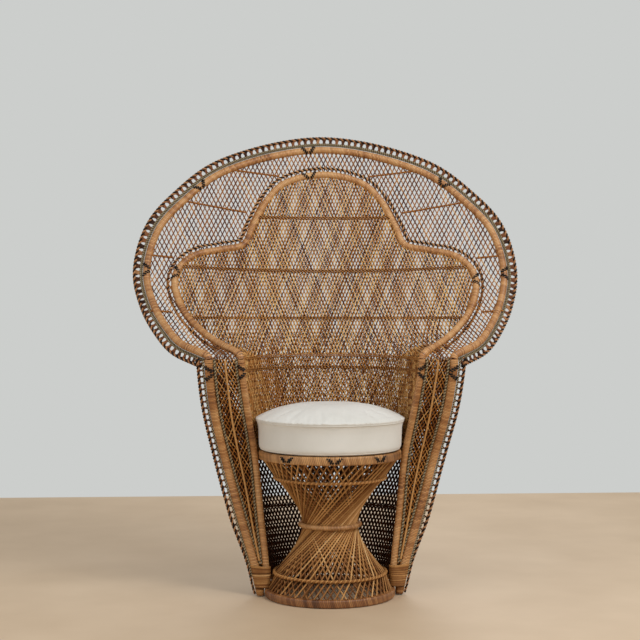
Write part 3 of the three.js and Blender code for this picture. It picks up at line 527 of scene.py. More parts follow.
def peel_finish(name, stops):
    """Wound peel: each turn has its own tone, with redder patches, and painted shade that darkens each turn
    towards the grooves between turns.
    """
    finish, tree, add, shader = new_finish(name)

    def maths(operation, *values):
        return add("ShaderNodeMath", dict(enumerate(values)), operation=operation).outputs[0]

    place = add("ShaderNodeTexCoord").outputs["Object"]
    turn = add("ShaderNodeAttribute", attribute_name="turn", attribute_type="GEOMETRY").outputs["Fac"]
    number = maths("FLOOR", turn)
    chance = add("ShaderNodeTexWhiteNoise", {"W": number}, noise_dimensions="1D").outputs["Value"]
    patch = noise(add, place, scale=9.0, detail=2.0, Roughness=0.5)
    colour = ramp_of(add, maths("MULTIPLY_ADD", chance, 0.34, patch), stops)
    # Painted shade: each turn darkens towards the grooves at its edges
    crown = maths("SINE", maths("MULTIPLY", maths("FRACT", turn), math.pi))
    shade = add("ShaderNodeMapRange", {"Value": crown, "From Min": 0.0, "From Max": 0.62,
                                       "To Min": 0.16, "To Max": 1.0})
    dark = add("ShaderNodeMix", {"Factor": 1.0, 6: colour, 7: shade.outputs[0]},
               data_type="RGBA", blend_type="MULTIPLY")
    tree.links.new(dark.outputs[2], shader.inputs["Base Color"])
    grain = noise(add, place, scale=700.0, detail=2.0)
    roughen(tree, add, shader, grain, strength=0.2, distance=0.0003)
    vary_gloss(tree, add, shader, patch, least=0.36, most=0.56)
    return finish


PEEL_GOLD = peel_finish("gold_peel", [
    (0.35, srgb(134, 84, 44)), (0.52, srgb(178, 122, 70)),
    (0.7, srgb(204, 150, 94)), (0.95, srgb(220, 172, 116))])
PEEL_RED = peel_finish("red_brown_peel", [
    (0.35, srgb(86, 50, 26)), (0.58, srgb(132, 82, 44)), (0.95, srgb(184, 130, 78))])
PEEL_SEAT = peel_finish("seat_peel", [
    (0.35, srgb(110, 70, 38)), (0.58, srgb(158, 109, 63)), (0.95, srgb(206, 156, 100))])
GOLD_CANE = cane_finish("gold_cane", [
    (0.0, srgb(62, 35, 17)), (0.4, srgb(140, 92, 49)), (0.7, srgb(194, 144, 86)), (1.0, srgb(226, 186, 130))])
BROWN_WEAVE = cane_finish("brown_weave", [
    (0.0, srgb(38, 19, 8)), (0.35, srgb(102, 56, 24)),
    (0.65, srgb(180, 120, 58)), (1.0, srgb(230, 186, 120))])
BORDER_WEAVE = cane_finish("border_weave", [
    (0.0, srgb(20, 13, 9)), (0.3, srgb(66, 38, 22)), (0.6, srgb(140, 88, 54)), (1.0, srgb(212, 166, 116))])
GREY_CORD = cane_finish("grey_cord", [
    (0.0, srgb(50, 41, 28)), (0.5, srgb(128, 112, 84)), (1.0, srgb(198, 184, 152))], rough=0.7)
BLACK_PEEL = cane_finish("black_peel", [(0.0, srgb(14, 14, 15)), (1.0, srgb(40, 38, 38))], rough=0.4)
BARE_POLE = cane_finish("bare_pole", [
    (0.0, srgb(150, 102, 60)), (0.5, srgb(176, 128, 80)), (1.0, srgb(200, 156, 104))],
    rough=0.6, spread=1.0, scale=30)


# Pedestal

PEDESTAL_CANES, PEDESTAL_GIRTH, LAYER_GAP = 58, 2.5, 5.4
STRAND_HOLD, STRAND_STEP = 4, 30
# The inner layer's lower tone is painted shade inside the pedestal
OUTER_TONE, INNER_SHADED_TONE, TONE_SPREAD = 0.63, 0.54, 0.17
# Painted shade on the pedestal canes: darker near the floor, a little lighter near the seat
FOOT_SHADE, HEAD_SHADE, SHADE_FROM, SHADE_TO = -0.17, 0.05, 40, 180
TWINE_OUT, TWINE_REACH, TWINE_TURNS, TWINE_GIRTH = 5.5, 2.6, 76, 2.7
LOWER_RING_TONES, UPPER_RING_TONES = (0.44, 0.66), (0.48, 0.7)
OUTER_STRANDS = 16
WAIST_RADIUS, WAIST_INSET, HOOP_CLEAR = 7.4, 6, 0.2
HALF_METRE = 500


def circle(radius, z, step=6):
    angle = np.linspace(0, 2 * math.pi, max(24, int(2 * math.pi * radius / step)) + 1)
    return np.stack([radius * np.cos(angle), radius * np.sin(angle), z + 0 * angle], 1)


def around(radius, angle, z):
    return np.array([radius * math.cos(angle), radius * math.sin(angle), z])


def pedestal_layer(inset, lean, tone):
    """Straight canes from ring to ring, with painted shade that darkens them towards the floor and lightens
    them a little near the seat. Lean is the way they turn.
    """
    strands = []
    for k in range(PEDESTAL_CANES):
        start = 2 * math.pi * (k + 0.5) / PEDESTAL_CANES
        below = start + END_TWIST * lean
        above = below + TWIST * lean
        ends = [around(STRAND_FOOT - inset, start, BASE_HEIGHT - STRAND_HOLD),
                around(LOWER_RING_RADIUS - inset, below, LOWER_RING_HEIGHT),
                around(UPPER_RING_RADIUS - inset, above, UPPER_RING_HEIGHT),
                around(STRAND_HEAD - inset, above + END_TWIST * lean, SEAT_BOTTOM + STRAND_HOLD)]
        line = []
        for a, b in zip(ends, ends[1:]):
            steps = max(2, int(np.linalg.norm(b - a) / STRAND_STEP))
            line += [lerp(a, b, t / steps) for t in range(steps)]
        line = np.array(line + ends[-1:])
        # Painted shade: darker towards the floor
        shade = lerp(FOOT_SHADE, HEAD_SHADE, smoothstep(line[:, 2], SHADE_FROM, SHADE_TO))
        strands.append((line, PEDESTAL_GIRTH, tone + shade + TONE_SPREAD * rng.standard_normal()))
    return strands


def ring_rope(radius, z, tones, per=8):
    """Canes twisted round each other in a ring outside the pedestal's canes."""
    angle = np.linspace(0, 2 * math.pi, TWINE_TURNS * per, endpoint=False)
    strands = []
    for k, tone in enumerate(tones):
        turn = angle * TWINE_TURNS + 2 * math.pi * k / len(tones)
        r = radius + TWINE_OUT + TWINE_REACH * np.cos(turn)
        line = np.stack([r * np.cos(angle), r * np.sin(angle), z + TWINE_REACH * np.sin(turn)], 1)
        strands.append((line, TWINE_GIRTH, tone, True))
    return strands


def make_hoops():
    base = circle(BASE_RADIUS - BASE_WIDTH / 2, BASE_HEIGHT / 2 + HOOP_CLEAR)
    wound_pole("base_hoop_wound", base, (BASE_WIDTH, BASE_HEIGHT - 2 * HOOP_CLEAR), PEEL_RED, ["base_hoop"],
               HOOP_TURN, SQUARED, closed=True)
    seat = circle(SEAT_RADIUS - SEAT_WIDTH / 2, SEAT_BOTTOM + SEAT_HEIGHT / 2)
    wound_pole("seat_hoop_wound", seat, (SEAT_WIDTH, SEAT_HEIGHT), PEEL_SEAT, ["seat_hoop"],
               HOOP_TURN, SQUARED, closed=True)
    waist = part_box("waist_ring")
    radius = (waist[1].x - waist[0].x) * HALF_METRE - WAIST_INSET
    ring = circle(radius, (waist[0].z + waist[1].z) * HALF_METRE, step=4)
    wound_pole("waist_ring_wound", ring, round_section(WAIST_RADIUS), PEEL_SEAT, ["waist_ring"],
               WAIST_TURN, closed=True)


def make_pedestal():
    outer = [f"outer_strand_{k}" for k in range(1, OUTER_STRANDS + 1)]
    canes("pedestal_canes_outer", pedestal_layer(0, 1, OUTER_TONE), GOLD_CANE, outer, sides=6)
    # The inner layer is toned darker as painted shade
    canes("pedestal_canes_inner", pedestal_layer(LAYER_GAP, -1, INNER_SHADED_TONE), GOLD_CANE,
          ["inner_strands"], sides=6)
    lower = ring_rope(LOWER_RING_RADIUS, LOWER_RING_HEIGHT, LOWER_RING_TONES)
    canes("lower_twine_rope", lower, GOLD_CANE, ["lower_twine"], sides=6)
    upper = ring_rope(UPPER_RING_RADIUS, UPPER_RING_HEIGHT, UPPER_RING_TONES)
    canes("upper_twine_rope", upper, GOLD_CANE, ["upper_twine"], sides=6)


make_hoops()
make_pedestal()


# Poles, and how far the peel stands out on each

ARCH_PEEL, TREFOIL_PEEL, INNER_PEEL, OUTER_PEEL = 0.6, 1.2, 0.6, 0.4
SILL_REACH, SILL_POINTS = 0.93, 60


def make_poles():
    wound_pole("outer_arch_wound", arch, round_section(ARCH_RADIUS + ARCH_PEEL), PEEL_GOLD, ["outer_arch"])
    wound_pole("trefoil_wound", trefoil, round_section(TREFOIL_RADIUS + TREFOIL_PEEL), PEEL_GOLD,
               ["trefoil_arch"])
    for side, turn in SIDES:
        wound_pole(f"inner_arm_wound_{side}", turn(inner_pole), round_section(INNER_RADIUS + INNER_PEEL),
                   PEEL_GOLD, [f"inner_arm_pole_{side}"])
        wound_pole(f"outer_arm_wound_{side}", turn(outer_pole), round_section(OUTER_RADIUS + OUTER_PEEL),
                   PEEL_GOLD, [f"outer_arm_pole_{side}"])
    z = BASE_HEIGHT + SILL_RADIUS + SILL_CLEAR
    share = np.linspace(-SILL_REACH, SILL_REACH, SILL_POINTS)
    sill = outer_shell(share, z + SILL_RADIUS + 0 * share)
    sill[:, 2] = z
    wound_pole("back_sill_wound", sill, round_section(SILL_RADIUS), PEEL_GOLD, ["back_sill"])


make_poles()


# Weave

# Width and height of a diamond, lift at a crossing, girth, middle tone and its spread
Weave = namedtuple("Weave", "pitch lift girth tone spread")

# On a wall, the width of a diamond is a share of the wall's half width
# The outer wall's very dark tone is painted shade inside the seat's cavity
OUTER_WALL = Weave((2 / 66, 24), 1.8, 2.8, 0.13, 0.06)
INNER_WALL = Weave((2 / 89, 23), 1.3, 1.65, 0.74, 0.18)
# The back layer's low tone is painted shade behind the inner wall
INNER_WALL_BACK = Weave((2 / 76, 26), 1.3, 1.45, 0.26, 0.12)

# On the fan and the arm fronts, it is in millimetres
TREFOIL_FRONT = Weave((9.6, 23), 1.3, 1.7, 0.72, 0.19)
# The back layer's dark tone is painted shade behind the trefoil's front layer
TREFOIL_BACK = Weave((11.2, 26), 1.3, 1.95, 0.15, 0.08)
FAN_BAND = Weave((14.2, 28), 1.5, 2.15, 0.46, 0.13)
ARM_FRONT_NEAR = Weave((11, 19), 1.4, 1.5, 0.6, 0.15)
# The far layer's dark tone is painted shade inside the arm
ARM_FRONT_FAR = Weave((9, 21), 1.4, 2.3, 0.12, 0.05)

# Reach of a rope's canes from its line, length of a turn, girth and a tone for each cane
Rope = namedtuple("Rope", "reach pitch girth tones")
PLAIT = Rope(2.7, 20, 2.9, (0.03, 0.72))
TREFOIL_TWINE = Rope(2.4, 16, 2.7, (0.02, 0.86))
BACK_ROW = Rope(1.3, 11, 1.5, (0.16, 0.68))
FAINT_ROW = Rope(1.0, 11, 1.2, (0.45, 0.7))
BAND_ROW = Rope(1.8, 14, 2.1, (0.42, 0.62))
WALL_ROW = Rope(1.8, 16, 2.1, (0.1, 0.3))
CORD = Rope(2.1, 10, 2.2, (0.2, 0.74))

# Steps in a turn of a rope
FINE_STEPS, COARSE_STEPS = 8, 6

# Search for the place where a cane ends, and the step for a surface's direction, as shares of a diamond
EDGE_HALVINGS, LEAST_SHARE, SMALL_STEP = 7, 0.05, 0.05

# Darkest and palest tone of a cane
TONE_LIMITS = (0.02, 0.98)


def rope(path, twist, per=FINE_STEPS, swell=None):
    """Canes twisted round a line, one for each tone. Swell thins the rope by its height."""
    line, s = evenly(path, twist.pitch / per)
    out, front = sides_of(line)
    size = swell(line[:, 2]) if swell else np.ones(len(line))
    strands = []
    for k, tone in enumerate(twist.tones):
        turn = (2 * math.pi * (s / twist.pitch + k / len(twist.tones)))[:, None]
        aside = np.cos(turn) * out + np.sin(turn) * front
        strands.append((line + twist.reach * size[:, None] * aside, twist.girth * size, tone))
    return strands


def cord(path, tones=CORD.tones, size=1.0):
    """Thin grey cord that lies beside a pole."""
    twist = Rope(CORD.reach * size, CORD.pitch * size, CORD.girth * size, tones)
    return rope(path, twist, COARSE_STEPS)


def reached(inside, x, z, end, beyond):
    """Where a cane that goes on from its last crossing meets the edge, unless that is very near."""
    if not 0 <= beyond < len(x):
        return []
    kept, lost = 0.0, 1.0
    for _ in range(EDGE_HALVINGS):
        share = (kept + lost) / 2
        held = inside(np.array([lerp(x[end], x[beyond], share)]), np.array([lerp(z[end], z[beyond], share)]))
        kept, lost = (share, lost) if held[0] else (kept, share)
    if kept <= LEAST_SHARE:
        return []
    return [(lerp(x[end], x[beyond], kept), lerp(z[end], z[beyond], kept), 0.0)]


def facing_of(surface, x, z, pitch):
    """Direction in which a surface faces, from steps that are small beside its diamonds."""
    wide, tall = pitch[0] * SMALL_STEP, pitch[1] * SMALL_STEP
    across = surface(x + wide, z) - surface(x - wide, z)
    up = surface(x, z + tall) - surface(x, z - tall)
    return unit(np.cross(across, up))


def crossed(spans, weave, inside, surface):
    """Two families of slanting canes that pass over and under each other at every crossing."""
    (x0, x1), (z0, z1) = spans
    wide, tall = weave.pitch
    rows = int((z1 - z0) / (tall / 2)) + 1
    first, last = int(2 * x0 / wide) - rows - 1, int(2 * x1 / wide) + rows + 1
    steps = np.arange(-1, rows + 1)
    strands = []
    for lean in (-1, 1):
        for k in range(first // 2, last // 2 + 1):
            column = 2 * k + lean * steps
            x, z = column * wide / 2, z0 + steps * tall / 2
            over = np.where(column % 2 == 0, 1.0, -1.0)
            held = inside(x, z)
            tone = float(np.clip(weave.tone + weave.spread * rng.standard_normal(), *TONE_LIMITS))
            for run in np.split(np.arange(len(steps)), np.flatnonzero(np.diff(held.astype(int))) + 1):
                if not held[run[0]]:
                    continue
                points = (reached(inside, x, z, run[0], run[0] - 1) + list(zip(x[run], z[run], over[run]))
                          + reached(inside, x, z, run[-1], run[-1] + 1))
                if len(points) < 2:
                    continue
                xs, zs, sign = np.array(points).T
                lift = facing_of(surface, xs, zs, weave.pitch) * (weave.lift * lean * sign)[:, None]
                strands.append((surface(xs, zs) - lift, weave.girth, tone))
    return strands


# Walls

WALL_DIP, DIP_FROM, DIP_TO = 70, 0.5, 0.85
SIDE_RISE, RISE_FROM, RISE_TO = 40, 0.6, 0.8
LINING_GAP = WALL_GAP - 5.5
THINNING_HEIGHTS, THINNING = (420, 520, 640, 770), (1.13, 0.82, 0.72, 0.42)
# The outer wall's painted shade lifts upwards by this much between these heights
PALING, PALE_FROM, PALE_TO = 0.38, 430, 700
WALL_ROW_HEIGHT, WALL_ROW_INSET, WALL_ROW_POINTS, ROW_REACH = 248, 0.985, 200, 0.97


def on_outer_wall(share, z):
    """The wall ends lower beside the arms."""
    top = OUTER_WALL_TOP - WALL_DIP * smoothstep(np.abs(share), DIP_FROM, DIP_TO)
    return (np.abs(share) <= 1) & (z >= WALL_FOOT) & (z <= top)


def make_outer_wall():
    """The outer weave, thinner upwards, with painted shade that is darkest low down and pales upwards, and
    one row low down.
    """
    weave = crossed(((-1, 1), (WALL_FOOT, OUTER_WALL_TOP)), OUTER_WALL, on_outer_wall, outer_shell)
    strands = []
    for line, girth, tone in weave:
        z = line[:, 2]
        strands.append((line, girth * np.interp(z, THINNING_HEIGHTS, THINNING),
                        tone + PALING * smoothstep(z, PALE_FROM, PALE_TO)))
    canes("outer_wall_weave", strands, BROWN_WEAVE, ["outer_wall"], sides=4)
    share = np.linspace(-ROW_REACH, ROW_REACH, WALL_ROW_POINTS)
    row = outer_shell(share, WALL_ROW_HEIGHT + 0 * share) * [WALL_ROW_INSET, WALL_ROW_INSET, 1]
    canes("outer_wall_row", rope(row, WALL_ROW, COARSE_STEPS), BROWN_WEAVE)


def on_inner_wall(share, z):
    """The wall goes on a little above its row at the sides, where the trefoil bends forward to the arms."""
    top = SEAM_ROW + SIDE_RISE * smoothstep(np.abs(share), RISE_FROM, RISE_TO)
    return (np.abs(share) <= 1) & (z >= SEAT_BOTTOM) & (z <= top)


def make_inner_wall():
    """The weave behind the seat, with a second one close behind it, toned darker as painted shade."""
    spans = ((-1, 1), (SEAT_BOTTOM, SEAM_ROW + SIDE_RISE))
    inside = crossed(spans, INNER_WALL, on_inner_wall, inner_shell)
    canes("inner_wall_weave", inside, BROWN_WEAVE, ["inner_wall"], sides=4)
    behind = crossed(spans, INNER_WALL_BACK, on_inner_wall, shell(inner_rim, lambda z: LINING_GAP))
    canes("inner_wall_weave_back", behind, BROWN_WEAVE, sides=4)


make_outer_wall()
make_inner_wall()


# Fan

LEAF_FRONT, LEAF_BACK = -2.5, 3
trefoil_edge, arch_edge = outline_of(trefoil), outline_of(arch)


def in_trefoil(x, z):
    return within(trefoil_edge, x, z) & (z > SEAM_ROW)


def in_band(x, rise):
    z = np.interp(rise, SLOPE_LENGTHS, SLOPE_HEIGHTS)
    return within(arch_edge, x, z) & ~within(trefoil_edge, x, z) & (z > ARM_TOP + 3)


def leaf(away):
    """The inner shell by its front view, so that the weave keeps its size there."""
    def at(x, z):
        x, z = np.asarray(x, float), np.asarray(z, float)
        rim_x, rim_y = inner_rim(z)
        aside = np.clip(np.abs(x) / rim_x, 0, 1)
        bend = lerp(1 - np.sqrt(1 - aside ** 2), aside ** 2, smoothstep(z, WALL_TOP, FAN_WIDEST))
        return np.stack([x, lerp(back_y(z) - gap_of_walls(z), rim_y, bend) + away, z], -1)
    return at


def make_fan():
    """The trefoil's weave in two layers, the back one darkened as painted shade, and the open band round it.
    """
    spans = ((-TREFOIL_HALF, TREFOIL_HALF), (SEAM_ROW, TREFOIL_TOP))
    front = crossed(spans, TREFOIL_FRONT, in_trefoil, leaf(LEAF_FRONT))
    canes("trefoil_weave_front", front, BROWN_WEAVE, ["trefoil_panel"], sides=4)
    back = crossed(spans, TREFOIL_BACK, in_trefoil, leaf(LEAF_BACK))
    canes("trefoil_weave_back", back, BROWN_WEAVE, sides=4)
    open_work = crossed(((-FAN_HALF, FAN_HALF), (0, SLOPE_LENGTHS[-1])), FAN_BAND, in_band, band)
    canes("fan_band_weave", open_work, BROWN_WEAVE, ["fan_band"], sides=4)


make_fan()


# Border and cords

ARM_BORDER, FOOT_BORDER = 32, 22
CROSS_PITCH, CROSS_STEPS, CROSS_GIRTH, CROSS_TONE = 20, 16, 2.15, 0.46
CROSS_LEAN, FIRST_CROSS, LEAST_WIDTH = 3, 9, 4
CROSS_SHIFTS, CROSS_SPREAD, CROSS_FORWARD, CROSS_BOW = (0, 3, -3), 0.14, 0.8, 1.6
DENSE_ASIDE, DENSE_HEIGHT = 500, 880
BORDER_FULL, FOOT_SWELL, SWELL_FROM, SWELL_TO = 260, 0.75, 20, 200
FAN_BAR_START, ARM_BAR_START, BAR_END = 5, 4, 2
PLAIT_FOOT, PLAIT_HEAD, TOE_IN = 6, ARM_TOP + 4, 0.3
CORD_FORWARD, ARM_CORD_FOOT, ARM_POINTS = 3, 100, 160
OUTER_CORD_AWAY, OUTER_CORD_FOOT, OUTER_CORD_TONES, OUTER_CORD_SIZE = 3.6, 60, (0.2, 0.84), 0.8
INNER_CORD_AWAY, INNER_CORD_FORWARD = 4.4, 4

# Cords outside the arch: distance from it and tones
FAN_CORDS, FAN_CORD_SIZE = ((3.4, (0.12, 0.62)), (8.2, (0.2, 0.8))), 0.7


def moved_out(path, distance):
    """The line moved away from its pole in the front view."""
    along = np.gradient(path, axis=0)
    length = np.hypot(along[:, 0], along[:, 2])
    shift = np.stack([-along[:, 2] / length, 0 * length, along[:, 0] / length], 1)
    return path + shift * np.broadcast_to(distance, len(path))[:, None]


def openwork(path, near, far, abreast):
    """Narrow crosses of canes that stand between a pole's cord and the outer plait."""
    line, _ = evenly(path, CROSS_PITCH / CROSS_STEPS)
    near, far = (np.broadcast_to(d, len(line)) for d in (near, far))
    bottom, top = moved_out(line, near), moved_out(line, far)
    strands = []
    for k in range(FIRST_CROSS, len(line) - FIRST_CROSS, CROSS_STEPS):
        if far[k] - near[k] < LEAST_WIDTH:
            continue
        beside = abreast(*line[k])
        for lean in (-1, 1):
            tone = CROSS_TONE + CROSS_SPREAD * rng.standard_normal()
            for shift in CROSS_SHIFTS[:beside]:
                start, end = bottom[k - CROSS_LEAN * lean + shift], top[k + CROSS_LEAN * lean + shift]
                middle = (start + end) / 2 + np.array([0, -CROSS_FORWARD - CROSS_BOW * lean, 0])
                strands.append((np.array([start, middle, end]), CROSS_GIRTH, tone))
    return strands


def fan_crosses(x, y, z):
    """Canes abreast in each way of a cross: more at the sides of the fan."""
    return 3 if abs(x) > DENSE_ASIDE and z > DENSE_HEIGHT else 2


def arm_crosses(x, y, z):
    return 1


def arm_border(z):
    """Distance of the arm's plait from its pole: it closes in on the foot binding."""
    return lerp(FOOT_BORDER, ARM_BORDER, smoothstep(z, FOOT_TOP, BORDER_FULL))


def arm_swell(z):
    """Share of the arm's plait at a height: it is slimmer at the foot."""
    return lerp(FOOT_SWELL, 1, smoothstep(z, SWELL_FROM, SWELL_TO))


def beside_arm(distance, low_z, high_z, forward=0.0, count=ARM_POINTS):
    """A line beside the right outer arm pole, from the top down."""
    z = np.linspace(high_z, low_z, count)
    x, y = outer_rim(np.clip(z, POLE_FOOT, ARM_TOP))
    x = x - TOE_IN * np.clip(POLE_FOOT - z, 0, None)
    aside = distance(z) if callable(distance) else distance
    return np.stack([x + np.broadcast_to(aside, count), y - forward, z], 1)


def make_fan_border():
    line, _ = evenly(arch, TRIM_STEP)
    canes("fan_plait", rope(moved_out(line, BORDER), PLAIT), BORDER_WEAVE, ["fan_edge"])
    bars = openwork(line, ARCH_RADIUS + FAN_BAR_START, BORDER - BAR_END, fan_crosses)
    canes("fan_openwork_canes", bars, BORDER_WEAVE, ["fan_openwork"])
    cords = []
    for away, tones in FAN_CORDS:
        cords += cord(moved_out(line, ARCH_RADIUS + away) + [0, -CORD_FORWARD, 0], tones, FAN_CORD_SIZE)
    canes("fan_cord", cords, GREY_CORD)


def make_arm_border(side, turn):
    plait = rope(turn(beside_arm(arm_border, PLAIT_FOOT, PLAIT_HEAD)), PLAIT, swell=arm_swell)
    canes(f"arm_plait_{side}", plait, BORDER_WEAVE, [f"arm_edge_{side}"])
    pole = beside_arm(0, ARM_CORD_FOOT, ARM_TOP)
    z = evenly(pole, CROSS_PITCH / CROSS_STEPS)[0][:, 2]
    bars = openwork(pole, OUTER_RADIUS + ARM_BAR_START, arm_border(z) - BAR_END, arm_crosses)
    canes(f"arm_openwork_canes_{side}", turned(bars, turn), BORDER_WEAVE, [f"arm_openwork_{side}"])
    z = np.linspace(ARM_TOP, ARM_CORD_FOOT, ARM_POINTS)
    x, y = inner_rim(z)
    inner = np.stack([x + INNER_RADIUS + INNER_CORD_AWAY, y - INNER_CORD_FORWARD, z], 1)
    outside = beside_arm(OUTER_RADIUS + OUTER_CORD_AWAY, OUTER_CORD_FOOT, ARM_TOP, CORD_FORWARD)
    cords = cord(turn(outside), OUTER_CORD_TONES, OUTER_CORD_SIZE)
    outer = beside_arm(-OUTER_RADIUS - INNER_CORD_AWAY, ARM_CORD_FOOT, ARM_TOP, INNER_CORD_FORWARD)
    cords += cord(turn(outer)) + cord(turn(inner))
    canes(f"arm_cords_{side}", cords, GREY_CORD)


make_fan_border()
for side, turn in SIDES:
    make_arm_border(side, turn)


# Twined rows

# Rows of the back: height in the middle, and rise at the ends
BACK_ROWS = {"back_row_1": (SEAM_ROW, 0), "back_row_2": (847, 4), "back_row_3": (1001, 14),
             "back_row_4": (1176, 8), "seat_back_row": (SEAM_ROW - 38, 0)}

# Rows in the band: places across and up of the inner and the outer end
BAND_ROWS = (((148, 1315), (312, 1334)), ((258, 1193), (446, 1224)),
             ((490, 1042), (562, 1049)), ((486, 868), (552, 873)))
ROW_SPLIT, ROW_FORWARD, ROW_MARGIN, BAND_ROW_FORWARD = 2.6, 4.5, 2, 2.5
TWINE_AWAY, TWINE_END = 11, 26
BACK_ROW_POINTS, BAND_ROW_POINTS = 241, 24


def make_trefoil_twine():
    line, _ = evenly(trefoil, TRIM_STEP)
    row = moved_out(line, TREFOIL_RADIUS + TWINE_AWAY)
    row = row[row[:, 2] > ARM_TOP + TWINE_END]
    canes("trefoil_twine", rope(row + [0, -CORD_FORWARD, 0], TREFOIL_TWINE), BORDER_WEAVE)


def make_back_rows():
    """Pairs of ropes across the back. The row at the seam is a faint one."""
    edge = outline_of(trefoil, -ROW_MARGIN)
    share = np.linspace(-ROW_REACH, ROW_REACH, BACK_ROW_POINTS)
    for name, (z, rise) in BACK_ROWS.items():
        strands = []
        for lift in (-ROW_SPLIT, ROW_SPLIT):
            points = inner_shell(share, z + lift + rise * share ** 2) + [0, -ROW_FORWARD, 0]
            if z > SEAM_ROW:
                points = points[within(edge, points[:, 0], points[:, 2])]
            strands += rope(points, FAINT_ROW if z == SEAM_ROW else BACK_ROW, COARSE_STEPS)
        canes(name + "_twine", strands, BROWN_WEAVE, [name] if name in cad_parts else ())


def make_band_rows():
    strands = []
    share = np.linspace(0, 1, BAND_ROW_POINTS)
    for (x0, z0), (x1, z1) in BAND_ROWS:
        for side in (-1, 1):
            rise = np.interp(lerp(z0, z1, share), SLOPE_HEIGHTS, SLOPE_LENGTHS)
            points = band(side * lerp(x0, x1, share), rise) + [0, -BAND_ROW_FORWARD, 0]
            strands += rope(points[::side], BAND_ROW, COARSE_STEPS)
    canes("fan_band_rows", strands, BROWN_WEAVE)


make_trefoil_twine()
make_back_rows()
make_band_rows()


# Arm fronts and feet

FRONT_FOOT, FRONT_TOP, FRONT_WIDTH = 96, ARM_TOP + 2, 110
FRONT_NEAR, FRONT_FAR, FRONT_BOW, FRONT_PAST = -1, 7, 5, 0.2
INNER_MARGIN, OUTER_MARGIN = 6, 8
RIB_GIRTH, RIB_TONE, RIB_FORWARD, RIB_FOOT, RIB_HEAD = 2.9, 0.74, 10, 110, ARM_TOP - 2
RIB_SWAY, RIB_WAVE, RIB_POINTS = 0.02, 60, 90
LOOP_PITCH, LOOP_GIRTH, LOOP_TILT, LOOP_POWER = 3.0, 1.75, 0.4, 0.7
LOOP_TONE, LOOP_SPREAD, LOOP_POINTS = 0.5, 0.17, 40

# Foot windings: heights, inner edge and half depth of the toe and the foot, and the outer edge by height
TOE_HEIGHTS, TOE_INNER, TOE_DEPTH = np.arange(5, 25, LOOP_PITCH), 203.5, 13
FOOT_HEIGHTS, FOOT_INNER, FOOT_DEPTH = np.arange(28.5, 94, LOOP_PITCH), 183.5, 17.5
EDGE_HEIGHTS, FOOT_OUTER = (5, POLE_FOOT, FOOT_TOP), (224, 229.5, 244)
SLANT_FROM, SLANT = 78, 2.5


def front_width(z):
    return outer_rim(z)[0] - inner_rim(z)[0]


def front_face(away):
    """The arm's front by the distance from its inner pole, bowed forward in the middle."""
    def at(across, z):
        across, z = np.asarray(across, float), np.asarray(z, float)
        share = np.clip(across / np.maximum(front_width(z), 1), -FRONT_PAST, 1 + FRONT_PAST)
        point = arm_front(share, z)
        point[..., 1] += away - FRONT_BOW * (1 - np.abs(2 * share - 1))
        return point
    return at


def on_front(across, z):
    held = (across >= INNER_MARGIN) & (across <= front_width(z) - OUTER_MARGIN)
    return held & (z > FRONT_FOOT) & (z < FRONT_TOP)


def make_arm_front(side, turn):
    spans = ((0, FRONT_WIDTH), (FRONT_FOOT, FRONT_TOP))
    near = crossed(spans, ARM_FRONT_NEAR, on_front, front_face(FRONT_NEAR))
    # The far layer is toned darker as painted shade
    far = crossed(spans, ARM_FRONT_FAR, on_front, front_face(FRONT_FAR))
    canes(f"arm_front_weave_{side}", turned(near + far, turn), BROWN_WEAVE,
          [f"arm_panel_{side}"], sides=4)
    z = np.linspace(RIB_FOOT, RIB_HEAD, RIB_POINTS)
    rib = arm_front(0.5 + RIB_SWAY * np.sin(z / RIB_WAVE), z) + [0, -RIB_FORWARD, 0]
    canes(f"arm_rib_cane_{side}", [(turn(rib), RIB_GIRTH, RIB_TONE)], GOLD_CANE,
          [f"arm_rib_{side}"], sides=8)


def make_foot(side, turn):
    """Windings round the feet of both poles, with a narrower toe below."""
    loops = []
    angle = np.linspace(0, 2 * math.pi, LOOP_POINTS, endpoint=False)
    across, deep = (np.sign(w) * np.abs(w) ** LOOP_POWER for w in (np.cos(angle), np.sin(angle)))
    for z in np.concatenate([TOE_HEIGHTS, FOOT_HEIGHTS]):
        near, half_depth = (TOE_INNER, TOE_DEPTH) if z < FOOT_HEIGHTS[0] else (FOOT_INNER, FOOT_DEPTH)
        far = np.interp(z, EDGE_HEIGHTS, FOOT_OUTER)
        tilt = rng.normal(0, LOOP_TILT) + (SLANT if z > SLANT_FROM else 0)
        loop = np.stack([lerp(near, far, (1 + across) / 2), half_depth * deep, z + tilt * across], 1)
        loops.append((turn(loop), LOOP_GIRTH, LOOP_TONE + LOOP_SPREAD * rng.standard_normal(), True))
    canes(f"foot_windings_{side}", loops, GOLD_CANE, [f"foot_binding_{side}"], sides=6)


for side, turn in SIDES:
    make_arm_front(side, turn)
    make_foot(side, turn)


# Black peel marks on the poles: places across and up in the front view

MARK_GIRTH, MARK_TONE, MARK_DASHES, MARK_OUT = 2.9, 0.2, 4, 0.7
ARCH_MARKS = [(-50, 1400), (-395, 1262), (378, 1270), (-572, 1000), (572, 990)]
TREFOIL_MARKS = [(-47, 1320), (-485, 990), (485, 968)]
OUTER_ARM_MARK, INNER_ARM_MARK = 690, 692
SEAT_MARK_ANGLES, SEAT_MARK_RADIUS = (-39.5, 0, 39.5), SEAT_RADIUS - 13
SEAT_MARK_HEIGHT, SEAT_MARK_DEPTH = 12, 13.6

# Each dash: its place round the pole and along it from the first to the last, and its own turns and slant
MARK_ANGLES, MARK_REACHES = (0.95, -0.7), (20, 5.6)
DASH_TURNS, DASH_SLANT = (-0.5, -0.17, 0.17, 0.5), 4


